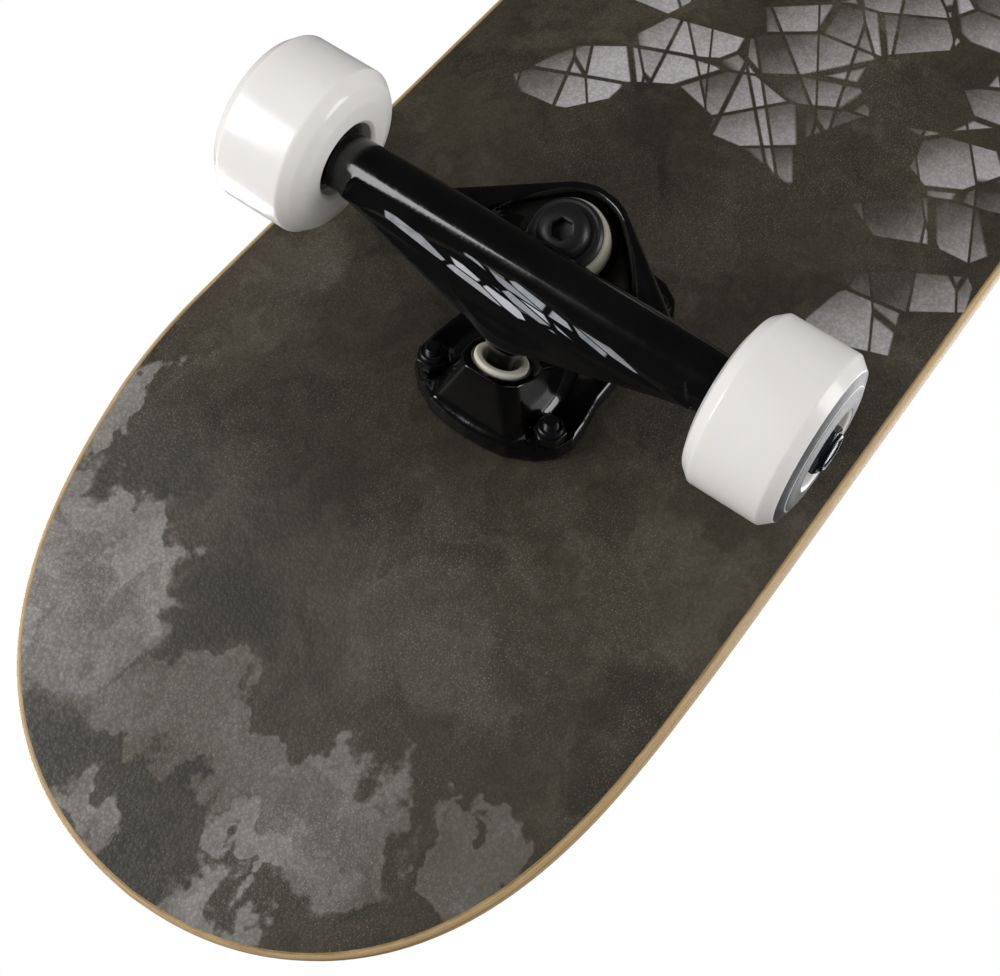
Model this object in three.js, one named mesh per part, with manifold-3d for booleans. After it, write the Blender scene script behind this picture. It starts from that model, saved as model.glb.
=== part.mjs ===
// Skateboard: a seven-ply kicktail deck with grip tape on two steering trucks and four wheels.
// Millimetres, +Z up, +X towards the nose, +Y to the rider's left; the wheels stand on z = 0
// and the origin is the middle of the footprint.
import * as THREE from "three";
import { ConvexGeometry } from "three/addons/geometries/ConvexGeometry.js";
import { mergeVertices } from "three/addons/utils/BufferGeometryUtils.js";
import Module from "manifold-3d";

// ---- driving dimensions --------------------------------------------------------------------
const REAR_TRUCK_X = -206.4; // middle of the rear four-bolt pattern
const FRONT_TRUCK_X = 203.2; // middle of the front four-bolt pattern
const BOLT_DX = 26.99; // half of the 53.98 mm bolt spacing along the deck
const BOLT_DY = 20.64; // half of the 41.28 mm bolt spacing across the deck

const DECK_HALF_WIDTH = 95.25;
const DECK_THICKNESS = 10.5;
const DECK_UNDERSIDE_Z = 77.2;
const FLAT_HALF_WIDTH = 30; // the deck is flat this far each side of its middle
const CONCAVE_RISE = 3.6; // how far the edges rise above the flat
const CONCAVE_POWER = 1.55;
const TAPER_START = 11.6; // along the deck from the truck, where the outline starts to close
const KICK_START = 46.7; // along the deck from the truck, where the kick bends up
const KICK_RADIUS = 130;
const TAIL = { length: 194.5, angle: 0.323, n: 3.7, m: 2.05 };
const NOSE = { length: 198.5, angle: 0.34, n: 3.7, m: 2.05 };
const GRIP_THICKNESS = 0.9;
const GRIP_GAP = 0.2; // glue line
const GRIP_INSET = 0.4;

const WHEEL_RADIUS = 25.5;
const WHEEL_Y = 77.1; // middle of the tread
const TREAD_HALF = 10.4;
const WHEEL_HALF = 15.5;
const WHEEL_SIDES = 20;
const BEARING_RADIUS = 10.95; // 608 bearing, 22 x 8 x 7 mm
const BEARING_WIDTH = 7;
const AXLE_RADIUS = 3.95;
const AXLE_HALF = 95.7;
const HANGER_HALF = 64;

// Truck frame: +x outboard, towards the nearer end of the deck, z = 0 on the deck's underside.
const AXLE_AT = [12.8, -51.7];
const PIVOT_AT = [25, -15.3]; // centre of the pivot's ball
const RING_AT = [-11.35, -35.57]; // centre of the hanger's ring
const KINGPIN_LEAN = 26; // degrees from vertical
const PIVOT_LEAN = 24.8; // degrees from vertical, of the pivot nose and its cup
const TUBE_RADIUS = 8.5;
const PLATE_THICKNESS = 5.8;

// ---- solids ----------------------------------------------------------------------------------
const wasm = await Module();
wasm.setup();

// A closed three.js geometry as a manifold-3d solid.
function solid(geometry) {
  const g = (geometry.index ? geometry.toNonIndexed() : geometry).clone();
  for (const key of Object.keys(g.attributes)) if (key !== "position") g.deleteAttribute(key);
  const merged = mergeVertices(g, 1e-4);
  const ix = merged.index.array;
  const make = (flip) => {
    const tris = [];
    for (let i = 0; i < ix.length; i += 3) {
      const [a, b, c] = [ix[i], ix[i + 1], ix[i + 2]];
      if (a === b || b === c || a === c) continue;
      if (flip) tris.push(a, c, b);
      else tris.push(a, b, c);
    }
    return new wasm.Manifold(
      new wasm.Mesh({
        numProp: 3,
        vertProperties: new Float32Array(merged.attributes.position.array),
        triVerts: new Uint32Array(tris),
      }),
    );
  };
  const s = make(false);
  return s.volume() < 0 ? make(true) : s;
}

// The solid back as a three.js geometry.
function geometryOf(s) {
  const m = s.getMesh();
  const pos = new Float32Array(m.numVert * 3);
  for (let i = 0; i < m.numVert; i++)
    for (let k = 0; k < 3; k++) pos[3 * i + k] = m.vertProperties[i * m.numProp + k];
  const g = new THREE.BufferGeometry();
  g.setAttribute("position", new THREE.BufferAttribute(pos, 3));
  g.setIndex(new THREE.BufferAttribute(new Uint32Array(m.triVerts), 1));
  g.computeVertexNormals();
  return g;
}

const union = (list) => list.reduce((a, b) => a.add(b));
const hull = (points) => solid(new ConvexGeometry(points.map((p) => new THREE.Vector3(...p))));

// A profile of [radius, height] turned about +Y.
function turned(profile, sides, start = 0) {
  return new THREE.LatheGeometry(
    profile.map(([r, h]) => new THREE.Vector2(r, h)),
    sides,
    start,
  );
}
const Y = new THREE.Vector3(0, 1, 0);
// Turns a geometry made about +Y so that +Y points along dir, and moves it to at.
function aim(geometry, dir, at) {
  const q = new THREE.Quaternion().setFromUnitVectors(Y, new THREE.Vector3(...dir).normalize());
  return geometry.applyQuaternion(q).translate(...at);
}
// A cylinder from height h0 to h1 about the line through at along dir.
function rod(r0, r1, h0, h1, sides, dir, at) {
  const g = new THREE.CylinderGeometry(r1, r0, h1 - h0, sides).translate(0, (h0 + h1) / 2, 0);
  return aim(g, dir, at);
}

// ---- materials -------------------------------------------------------------------------------
const look = (color, roughness, metalness) =>
  new THREE.MeshStandardMaterial({ color, roughness, metalness, flatShading: true });
const M = {
  deck: () => look(0x4a463f, 0.6, 0),
  grip: () => look(0x161616, 0.95, 0),
  truck: () => look(0x0b0b0c, 0.22, 0.1),
  satin: () => look(0x141415, 0.45, 0.6),
  cream: () => look(0xd9d4c3, 0.5, 0),
  steel: () => look(0xa9abad, 0.3, 1),
  black: () => look(0x121213, 0.35, 0.7),
  wheel: () => look(0xefecea, 0.25, 0),
  bearing: () => look(0x9c9ea0, 0.3, 0.9),
  bluenut: () => look(0x10131c, 0.3, 0.6),
};

const board = new THREE.Group();
function put(name, geometry, material, parent = board) {
  const mesh = new THREE.Mesh(geometry, material);
  mesh.name = name;
  parent.add(mesh);
  return mesh;
}

// ---- deck and grip tape ----------------------------------------------------------------------
// A point along one end of the deck, u out from its truck: position, rise, upward normal and half width.
function station(u, end) {
  const bend = Math.min(Math.max((u - KICK_START) / KICK_RADIUS, 0), end.angle);
  const run = Math.max(0, u - KICK_START - KICK_RADIUS * end.angle);
  const x = Math.min(u, KICK_START) + KICK_RADIUS * Math.sin(bend) + run * Math.cos(end.angle);
  const z = KICK_RADIUS * (1 - Math.cos(bend)) + run * Math.sin(end.angle);
  const t = Math.min(Math.max((u - TAPER_START) / (end.length - TAPER_START), 0), 1);
  const w = DECK_HALF_WIDTH * Math.pow(1 - Math.pow(t, end.n), 1 / end.m);
  return { x, z, bend, w };
}
const OUT = [11.6, 46.7, 60.7, 74.7, 88.8, 118, 143, 162, 175.5, 184.5, 190, 193, 194.4];
const tailStations = OUT.map((u) => {
  const s = station(u, TAIL);
  return { x: REAR_TRUCK_X - s.x, z: s.z, lean: s.bend, side: -1, w: s.w };
}).reverse();
const noseStations = OUT.map((u) => {
  const v = u <= 88.8 ? u : 88.8 + ((u - 88.8) * (NOSE.length - 0.1 - 88.8)) / (194.4 - 88.8);
  const s = station(v, NOSE);
  return { x: FRONT_TRUCK_X + s.x, z: s.z, lean: s.bend, side: 1, w: s.w };
});
const middle = [0].map((x) => ({ x, z: 0, lean: 0, side: 1, w: DECK_HALF_WIDTH }));
const stations = [...tailStations, ...middle, ...noseStations];
const ACROSS = [-1, -0.82, -0.58, -0.3149, 0, 0.3149, 0.58, 0.82, 1];
const concave = (y) =>
  CONCAVE_RISE *
  Math.pow(Math.max(0, Math.abs(y) - FLAT_HALF_WIDTH) / (DECK_HALF_WIDTH - FLAT_HALF_WIDTH), CONCAVE_POWER);

// A sheet that follows the deck between two heights above its underside.
function sheet(low, high, inset) {
  const nx = stations.length - 1, ny = ACROSS.length - 1;
  const g = new THREE.BoxGeometry(nx, ny, 1, nx, ny, 1);
  const p = g.attributes.position;
  for (let i = 0; i < p.count; i++) {
    const s = stations[Math.round(p.getX(i) + nx / 2)];
    const y = ACROSS[Math.round(p.getY(i) + ny / 2)] * (s.w - inset);
    const h = (p.getZ(i) > 0 ? high : low) + concave(y);
    const tip = Math.round(p.getX(i) + nx / 2);
    const pull = tip === 0 ? inset : tip === nx ? -inset : 0;
    p.setXYZ(
      i,
      s.x + pull - s.side * Math.sin(s.lean) * h,
      y,
      DECK_UNDERSIDE_Z + s.z + Math.cos(s.lean) * h,
    );
  }
  return solid(g);
}

const boltSpots = [];
for (const [end, tx] of [["rear", REAR_TRUCK_X], ["front", FRONT_TRUCK_X]])
  for (const [row, sx] of [["outer", 1], ["inner", -1]])
    for (const [side, sy] of [["left", 1], ["right", -1]])
      boltSpots.push({ name: `${end}_${row}_${side}`, x: tx + sx * (end === "rear" ? -1 : 1) * BOLT_DX, y: sy * BOLT_DY });

const UP = [0, 0, 1];
const deckTop = DECK_UNDERSIDE_Z + DECK_THICKNESS;
const gripTop = deckTop + GRIP_GAP + GRIP_THICKNESS;
const shanks = union(boltSpots.map((b) => solid(rod(2.85, 2.85, -20, 20, 8, UP, [b.x, b.y, deckTop]))));
const sinks = union(boltSpots.map((b) => solid(rod(2.38, 6.98, -3, 2, 8, UP, [b.x, b.y, gripTop - 0.6]))));
put("deck", geometryOf(sheet(0, DECK_THICKNESS, 0).subtract(shanks).subtract(sinks)), M.deck());
put(
  "grip_tape",
  geometryOf(
    sheet(DECK_THICKNESS + GRIP_GAP, DECK_THICKNESS + GRIP_GAP + GRIP_THICKNESS, GRIP_INSET)
      .subtract(union(boltSpots.map((b) => solid(rod(5.4, 5.4, -5, 5, 8, UP, [b.x, b.y, gripTop]))))),
  ),
  M.grip(),
);

// ---- mounting hardware -------------------------------------------------------------------------
const boltGeometry = () =>
  turned(
    [[0, gripTop - 0.1], [4.6, gripTop - 0.1], [4.6, gripTop - 0.7], [2.35, gripTop - 3.2], [2.35, DECK_UNDERSIDE_Z - 13.8], [0, DECK_UNDERSIDE_Z - 13.8]],
    8,
  ).rotateX(Math.PI / 2);
const socket = solid(rod(2.05, 2.05, -2.2, 1, 6, UP, [0, 0, gripTop - 0.1]));
const boltSolid = solid(boltGeometry()).subtract(socket);
const nutTopZ = DECK_UNDERSIDE_Z - 0.3 - PLATE_THICKNESS - 0.25;
const nutBottomZ = nutTopZ - 5.9;
const nutSolid = union([
  solid(rod(5.45, 5.45, nutBottomZ + 1.5, nutTopZ, 6, UP, [0, 0, 0])),
  solid(rod(4.2, 4.6, nutBottomZ, nutBottomZ + 1.6, 8, UP, [0, 0, 0])),
]).subtract(solid(rod(2.65, 2.65, nutBottomZ - 2, nutTopZ + 2, 8, UP, [0, 0, 0])));
for (const b of boltSpots) {
  put(`${b.name}_bolt`, geometryOf(boltSolid), M.black()).position.set(b.x, b.y, 0);
  const nut = put(`${b.name}_nut`, geometryOf(nutSolid), M.black());
  nut.position.set(b.x, b.y, 0);
}

// ---- trucks --------------------------------------------------------------------------------------
const rad = Math.PI / 180;
const KD = [Math.sin(KINGPIN_LEAN * rad), 0, -Math.cos(KINGPIN_LEAN * rad)]; // along the kingpin, down
const KE = [-Math.cos(KINGPIN_LEAN * rad), 0, -Math.sin(KINGPIN_LEAN * rad)]; // across it, inboard
const RING = [RING_AT[0], 0, RING_AT[1]];
const PU = [Math.sin(PIVOT_LEAN * rad), 0, Math.cos(PIVOT_LEAN * rad)]; // along the pivot, up
const PT = [Math.cos(PIVOT_LEAN * rad), 0, -Math.sin(PIVOT_LEAN * rad)]; // across it, outboard
const PIVOT = [PIVOT_AT[0], 0, PIVOT_AT[1]];
const along = (o, a, s, b = [0, 0, 0], t = 0) => [o[0] + a[0] * s + b[0] * t, o[1] + a[1] * s + b[1] * t, o[2] + a[2] * s + b[2] * t];
// Points of a circle of radius r about the kingpin at distance s down from the ring.
function ringCircle(r, s, n) {
  const out = [];
  for (let i = 0; i < n; i++) {
    const a = (2 * Math.PI * i) / n, c = along(RING, KD, s, KE, r * Math.cos(a));
    out.push([c[0], r * Math.sin(a), c[2]]);
  }
  return out;
}
const ringPoint = (p, v, s) => {
  const c = along(RING, KD, s, KE, p);
  return [c[0], v, c[2]];
};
function axleCircle(r, y, n) {
  const out = [];
  for (let i = 0; i < n; i++) {
    const a = (2 * Math.PI * (i + 0.5)) / n;
    out.push([AXLE_AT[0] + r * Math.cos(a), y, AXLE_AT[1] + r * Math.sin(a)]);
  }
  return out;
}
const both = (list) => list.flatMap(([x, y, z]) => [[x, y, z], [x, -y, z]]);

function hangerSolid() {
  const tube = solid(
    turned([[0, -HANGER_HALF], [7.9, -HANGER_HALF], [8.2, -HANGER_HALF + 0.6], [TUBE_RADIUS, -40], [TUBE_RADIUS, 40], [8.2, HANGER_HALF - 0.6], [7.9, HANGER_HALF], [0, HANGER_HALF]], 16, Math.PI / 16)
      .translate(AXLE_AT[0], 0, AXLE_AT[1]),
  );
  // The web that narrows from the tube to the foot of the pivot nose.
  const wedge = hull([
    ...both(axleCircle(7.8, 61, 8)),
    ...both(axleCircle(8.45, 12, 8)),
    ...both([[26, 6.5, -34], [25, 9.5, -35.2], [12, 8.5, -30.5], [9.5, 11, -33.5], [20.5, 26, -38.4]]),
  ]);
  const nose = hull([
    ...[...Array(10)].flatMap((_, i) => {
      const a = (2 * Math.PI * i) / 10;
      const c = along(PIVOT, PU, -9, PT, 4.6 * Math.cos(a)), d = along(PIVOT, PU, -19.5, PT, 8.4 * Math.cos(a));
      return [[c[0], 4.6 * Math.sin(a), c[2]], [d[0], 8.4 * Math.sin(a), d[2]]];
    }),
  ]);
  const tip = solid(aim(turned([[0, -11], [4.5, -11], [4.1, -4], [4.5, 0], [3.6, 2.6], [2.2, 3.9], [0, 4.5]], 10), PU, PIVOT));
  // The yoke: a rounded triangle that spreads from the ring to the tube, standing up as a rim.
  const yoke = hull([
    ...ringCircle(15.5, -4.6, 14),
    ...ringCircle(18, 6, 14),
    ...ringCircle(17.6, 9, 14),
    ...both([ringPoint(-8, 40, 9), ringPoint(-17, 50, 14), ringPoint(-9, 33, -1), ringPoint(-24, 30, 6), ringPoint(-24, 22, -2)]),
  ]);
  const body = union([tube, wedge, nose, tip, yoke]);
  const bowl = hull([
    ...ringCircle(13.4, 4.4, 14),
    ...ringCircle(14.6, 9.5, 14),
    ...both([ringPoint(3, 17, 9.5), ringPoint(-5, 21, 9.5), ringPoint(-7, 16, 9.5)]),
  ]);
  const over = hull([...ringCircle(14.6, 9.4, 14), ...ringCircle(11.8, 17.6, 14), ...both([ringPoint(3, 17, 9.4), ringPoint(-5, 21, 9.4), ringPoint(-7, 16, 9.4), ringPoint(3, 20, 17), ringPoint(-3, 20, 17)])]);
  const under = solid(rod(13.1, 13.1, -8, -2.6, 12, KD, RING));
  const hole = solid(rod(6.6, 6.6, -12, 12, 10, KD, RING));
  const axleHole = solid(turned([[0, -70], [4.2, -70], [4.2, 70], [0, 70]], 10, Math.PI / 20).translate(AXLE_AT[0], 0, AXLE_AT[1]));
  return union([body.subtract(bowl).subtract(over).subtract(under).subtract(hole)]).subtract(axleHole);
}

function baseplateSolid() {
  // Plate outline: rounded ends, slightly waisted between the bolts.
  const shape = new THREE.Shape();
  const half = [[39.5, 0], [39, 7], [37.4, 14], [34, 20.5], [29.5, 25.2], [24, 27.2], [18, 26.8], [8, 25.2], [-8, 25.2], [-18, 26.8], [-24, 27.2], [-30, 26.6], [-35.5, 23.5], [-39, 18], [-40, 11], [-40, 0]];
  const outline = [...half, ...half.slice(1, -1).reverse().map(([x, y]) => [x, -y])];
  shape.setFromPoints(outline.map(([x, y]) => new THREE.Vector2(x, y)));
  const plate = solid(
    new THREE.ExtrudeGeometry(shape, { depth: PLATE_THICKNESS - 1.2, bevelEnabled: true, bevelThickness: 1.2, bevelSize: 1.2, bevelOffset: -1.2, bevelSegments: 1 })
      .translate(0, 0, -0.3 - PLATE_THICKNESS + 1.2),
  ).intersect(solid(new THREE.BoxGeometry(100, 80, PLATE_THICKNESS).translate(0, 0, -0.3 - PLATE_THICKNESS / 2)));
  // The faceted housing around the pivot cup.
  const face = [];
  for (const [t, y] of [[10.4, 5.4], [6.4, 9.4], [-1, 10.8], [-7.5, 9.2], [-10.6, 4.6]]) {
    const c = along(PIVOT, PU, -5.5, PT, t);
    face.push([c[0], y, c[2]]);
  }
  const housing = hull([
    ...both(face),
    ...both([[32.6, 6.8, -21.2], [37, 12.5, -5.4], [36.6, 12.5, -2], [30, 15.5, -5.4], [16, 15.5, -5.4], [2, 12, -5.4], [2, 12, -2], [20, 11.2, -16.8]]),
  ]);
  // The boss that the kingpin screws into, square to the kingpin.
  const boss = hull([
    ...ringCircle(13.2, -20.4, 14),
    ...both([[-37.5, 8, -5.4], [-36.5, 13.5, -5], [-22, 15.5, -5.4], [-6, 14.5, -5.4], [-3, 10, -5.4], [-3, 10, -2]]),
  ]);
  const rib = hull(both([[-9, 4.5, -11], [12, 5.5, -15], [12, 6.5, -4], [-10, 6.5, -4]]));
  const cutCup = solid(aim(turned([[0, -12], [8.25, -12], [8.25, -4.2], [7.75, 6.8], [0, 6.8]], 12), PU, PIVOT));
  const cutPin = solid(rod(5.2, 5.2, -34.6, -8, 12, KD, RING));
  const holes = union(
    [[1, 1], [1, -1], [-1, 1], [-1, -1]].map(([a, b]) => solid(rod(2.75, 2.75, -20, 5, 8, UP, [a * BOLT_DX, b * BOLT_DY, 0]))),
  );
  const seats = union(
    [[1, 1], [1, -1], [-1, 1], [-1, -1]].map(([a, b]) =>
      solid(rod(6.4, 6.4, -16, -0.3 - PLATE_THICKNESS, 10, UP, [a * BOLT_DX, b * BOLT_DY, 0])),
    ),
  );
  return union([plate, housing, boss, rib]).subtract(seats).subtract(cutCup).subtract(cutPin).subtract(holes);
}

const hangerGeometry = geometryOf(hangerSolid());
const baseplateGeometry = geometryOf(baseplateSolid());
const cupGeometry = aim(
  turned([[5.7, -6.1], [8, -6.1], [8, -4.3], [7.4, 6.5], [0, 6.5], [0, 5.1], [2.7, 4.5], [4.4, 2.9], [5.15, 0.3], [5.1, -3], [5.7, -6.1]], 12),
  PU, PIVOT,
);
const kingpinSolid = solid(
  aim(
    turned([[0, -34.3], [4.2, -34.3], [4.75, -33.6], [4.75, 17.3], [7.1, 17.3], [7.1, 18.6], [5.6, 21], [3.8, 21.6], [0, 21.6]], 12),
    KD, RING,
  ),
).subtract(solid(rod(3.55, 3.55, 18.4, 23, 6, KD, RING)));
const topWasher = aim(turned([[5.2, 15.35], [8.6, 15.35], [10.3, 14.8], [9.4, 17.05], [5.2, 17.05], [5.2, 15.35]], 14), KD, RING);
const bottomWasher = aim(turned([[5.3, -20.1], [11.6, -20.1], [12.6, -18.55], [5.3, -18.55], [5.3, -20.1]], 14), KD, RING);
const topBushing = aim(turned([[5.3, 4.7], [11.6, 4.7], [12.1, 5.8], [10.1, 13.6], [8.4, 15.1], [5.3, 15.1], [5.3, 4.7]], 12), KD, RING);
const bottomBushing = aim(turned([[5.4, -18.3], [10.6, -18.3], [12.3, -16.4], [12.4, -5.2], [11.6, -2.85], [5.4, -2.85], [5.4, -18.3]], 12), KD, RING);

// Everything on the axle, as distances from the middle of the truck.
const axleGeometry = turned([[0, -AXLE_HALF], [3.3, -AXLE_HALF], [AXLE_RADIUS, -AXLE_HALF + 0.7], [AXLE_RADIUS, AXLE_HALF - 0.7], [3.3, AXLE_HALF], [0, AXLE_HALF]], 10, Math.PI / 20);
const washerGeometry = () => turned([[4.2, -0.45], [5.9, -0.45], [5.9, 0.45], [4.2, 0.45], [4.2, -0.45]], 10, Math.PI / 20);
const axleNut = union([
  solid(turned([[0, 0], [7.3, 0], [7.3, 3.6], [6.4, 4.0], [0, 4.0]], 6)),
  solid(turned([[0, 3.6], [5.6, 3.6], [5.2, 4.9], [0, 4.9]], 10, Math.PI / 20)),
]).subtract(solid(turned([[0, -1], [4.2, -1], [4.2, 8], [0, 8]], 10, Math.PI / 20)));

// Wheel: flat tread, rounded shoulders, coned lips, bearing seats each side of a central web.
const WR = WHEEL_RADIUS / Math.cos(Math.PI / WHEEL_SIDES);
const lip = [[11.3, 12.3], [16.2, 14.4], [18.8, WHEEL_HALF], [22.6, 13.7], [WR, TREAD_HALF]];
const wheelGeometry = () =>
  turned(
    [[8.6, -4.7], [11.3, -4.7], ...lip.map(([r, h]) => [r, -h]), ...lip.slice().reverse(), [11.3, 4.7], [8.6, 4.7], [8.6, -4.7]],
    WHEEL_SIDES, Math.PI / WHEEL_SIDES,
  );
const bearingGeometry = () =>
  turned([[4.3, -3.5], [BEARING_RADIUS, -3.5], [BEARING_RADIUS, 3.5], [4.3, 3.5], [4.3, -3.5]], 10, Math.PI / 20);

function truck(end, x, turn) {
  const g = new THREE.Group();
  g.position.set(x, 0, DECK_UNDERSIDE_Z);
  g.rotation.z = turn;
  board.add(g);
  put(`${end}_baseplate`, baseplateGeometry.clone(), M.truck(), g);
  put(`${end}_pivot_cup`, cupGeometry.clone(), M.cream(), g);
  put(`${end}_kingpin`, geometryOf(kingpinSolid), M.satin(), g);
  put(`${end}_top_washer`, topWasher.clone(), M.satin(), g);
  put(`${end}_top_bushing`, topBushing.clone(), M.cream(), g);
  put(`${end}_bottom_bushing`, bottomBushing.clone(), M.cream(), g);
  put(`${end}_bottom_washer`, bottomWasher.clone(), M.satin(), g);
  put(`${end}_hanger`, hangerGeometry.clone(), M.truck(), g);
  const shaft = new THREE.Group();
  shaft.position.set(AXLE_AT[0], 0, AXLE_AT[1]);
  g.add(shaft);
  put(`${end}_axle`, axleGeometry.clone(), M.steel(), shaft);
  for (const sy of [1, -1]) {
    // The truck frame of the rear truck is turned round, so its left is this frame's right.
    const side = (turn === 0 ? sy : -sy) > 0 ? "left" : "right";
    const name = `${end}_${side}`;
    const inner = WHEEL_Y - BEARING_WIDTH / 2 - 4.9;
    put(`${name}_inner_speed_washer`, washerGeometry(), M.steel(), shaft).position.y = sy * 64.62;
    put(`${name}_outer_speed_washer`, washerGeometry(), M.steel(), shaft).position.y = sy * 89.62;
    const nut = put(`${name}_axle_nut`, geometryOf(axleNut), M.bluenut(), shaft);
    nut.position.y = sy * 90.25;
    if (sy < 0) nut.rotation.z = Math.PI;
    put(`${name}_wheel`, wheelGeometry(), M.wheel(), shaft).position.y = sy * WHEEL_Y;
    put(`${name}_inner_bearing`, bearingGeometry(), M.bearing(), shaft).position.y = sy * inner;
    put(`${name}_outer_bearing`, bearingGeometry(), M.bearing(), shaft).position.y = sy * (2 * WHEEL_Y - inner);
  }
}
truck("rear", REAR_TRUCK_X, Math.PI);
truck("front", FRONT_TRUCK_X, 0);

export default board;
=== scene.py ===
import bpy
import bmesh
import math
import random
import numpy as np
from mathutils import Matrix, Vector


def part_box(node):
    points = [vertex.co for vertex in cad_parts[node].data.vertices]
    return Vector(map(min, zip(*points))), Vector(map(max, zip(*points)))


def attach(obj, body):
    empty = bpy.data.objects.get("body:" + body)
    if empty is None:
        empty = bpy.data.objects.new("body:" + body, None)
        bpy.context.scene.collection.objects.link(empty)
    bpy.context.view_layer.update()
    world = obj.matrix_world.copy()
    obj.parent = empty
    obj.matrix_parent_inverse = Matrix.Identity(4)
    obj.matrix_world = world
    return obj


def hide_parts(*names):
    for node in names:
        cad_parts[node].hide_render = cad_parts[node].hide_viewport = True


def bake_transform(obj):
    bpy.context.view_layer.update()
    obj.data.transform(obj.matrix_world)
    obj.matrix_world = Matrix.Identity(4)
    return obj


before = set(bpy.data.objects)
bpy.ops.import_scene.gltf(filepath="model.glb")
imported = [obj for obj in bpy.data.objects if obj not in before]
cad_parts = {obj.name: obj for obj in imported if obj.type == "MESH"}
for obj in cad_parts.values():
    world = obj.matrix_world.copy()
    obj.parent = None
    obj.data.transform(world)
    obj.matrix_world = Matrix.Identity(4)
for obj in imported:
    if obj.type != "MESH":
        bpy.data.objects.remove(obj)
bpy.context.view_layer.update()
scene = bpy.context.scene
MM = 0.001

# ------------------------------------------------------------------------------------------
# Where things are. Positions come from the CAD boxes; truck-local numbers are in millimetres,
# +x outboard (towards the nearer tip), z = 0 on the deck's underside.
# ------------------------------------------------------------------------------------------
def mid(node):
    lo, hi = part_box(node)
    return (lo + hi) / 2 * 1000


AXLE_AT = (12.8, -51.7)
PIVOT_AT = (25.0, -15.3)
RING_AT = (-11.35, -35.57)
UNDERSIDE = 77.2
XR = mid("rear_axle").x + AXLE_AT[0]
XF = mid("front_axle").x - AXLE_AT[0]
WHEEL_Y = mid("front_left_wheel").y
BOLT = (26.99, 20.64)
TH = 10.5
rad = math.radians
KL, PL = rad(26), rad(24.8)
KD = np.array([math.sin(KL), 0, -math.cos(KL)])
KE = np.array([-math.cos(KL), 0, -math.sin(KL)])
PU = np.array([math.sin(PL), 0, math.cos(PL)])
PT = np.array([math.cos(PL), 0, -math.sin(PL)])
RING = np.array([RING_AT[0], 0, RING_AT[1]])
PIVOT = np.array([PIVOT_AT[0], 0, PIVOT_AT[1]])
YAX = np.array([0, 1.0, 0])

ENDS = {"rear": (XR, math.pi), "front": (XF, 0.0)}


def truck_matrix(end):
    x, a = ENDS[end]
    return Matrix.Translation((x * MM, 0, UNDERSIDE * MM)) @ Matrix.Rotation(a, 4, "Z")


# ------------------------------------------------------------------------------------------
# Mesh helpers
# ------------------------------------------------------------------------------------------
def new_mesh(name, verts, faces, angle=32, recalc=True):
    """A mesh from millimetre vertices."""
    me = bpy.data.meshes.new(name)
    me.from_pydata([tuple(v) for v in (np.asarray(verts, float) * MM)], [], [tuple(int(i) for i in f) for f in faces])
    me.update()
    if recalc:
        bm = bmesh.new()
        bm.from_mesh(me)
        bmesh.ops.recalc_face_normals(bm, faces=bm.faces)
        bm.to_mesh(me)
        bm.free()
    me.polygons.foreach_set("use_smooth", [True] * len(me.polygons))
    if angle:
        me.set_sharp_from_angle(angle=rad(angle))
    me.update()
    return me


def place(name, me, mats, matrix=None, body=None, replaces=None):
    ob = bpy.data.objects.new(name, me)
    scene.collection.objects.link(ob)
    if mats is not None:
        if not isinstance(mats, (list, tuple)):
            mats = [mats]
        if len(me.materials) == 0:
            for m in mats:
                me.materials.append(m)
    if matrix is not None:
        ob.matrix_world = matrix
    bpy.context.view_layer.update()
    if body:
        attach(ob, body)
    if replaces:
        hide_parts(replaces)
    return ob


def fillet(pts, r=0.3, n=5, closed=False, radii=None):
    pts = [np.array(p, float) for p in pts]
    out = []
    N = len(pts)
    for i in range(N):
        if not closed and i in (0, N - 1):
            out.append(pts[i])
            continue
        a, b, c = pts[(i - 1) % N], pts[i], pts[(i + 1) % N]
        rr = radii[i] if radii else r
        u, v = a - b, c - b
        lu, lv = np.linalg.norm(u), np.linalg.norm(v)
        u, v = u / lu, v / lv
        ang = math.acos(max(-1, min(1, float(u @ v))))
        if rr <= 0 or ang > math.pi - 0.06 or ang < 0.05:
            out.append(b)
            continue
        d = min(rr / math.tan(ang / 2), lu * 0.48, lv * 0.48)
        r2 = d * math.tan(ang / 2)
        bis = (u + v) / np.linalg.norm(u + v)
        cen = b + bis * (r2 / math.sin(ang / 2))
        p0, p1 = b + u * d - cen, b + v * d - cen
        a0, a1 = math.atan2(p0[1], p0[0]), math.atan2(p1[1], p1[0])
        da = (a1 - a0 + math.pi) % (2 * math.pi) - math.pi
        for k in range(n + 1):
            t = a0 + da * k / n
            out.append(cen + r2 * np.array([math.cos(t), math.sin(t)]))
    return out


def basis(axis):
    axis = np.asarray(axis, float) / np.linalg.norm(axis)
    ref = np.array([0, 1.0, 0]) if abs(axis[1]) < 0.9 else np.array([1.0, 0, 0])
    e1 = np.cross(ref, axis)
    e1 /= np.linalg.norm(e1)
    e2 = np.cross(axis, e1)
    return e1, e2, axis


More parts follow.
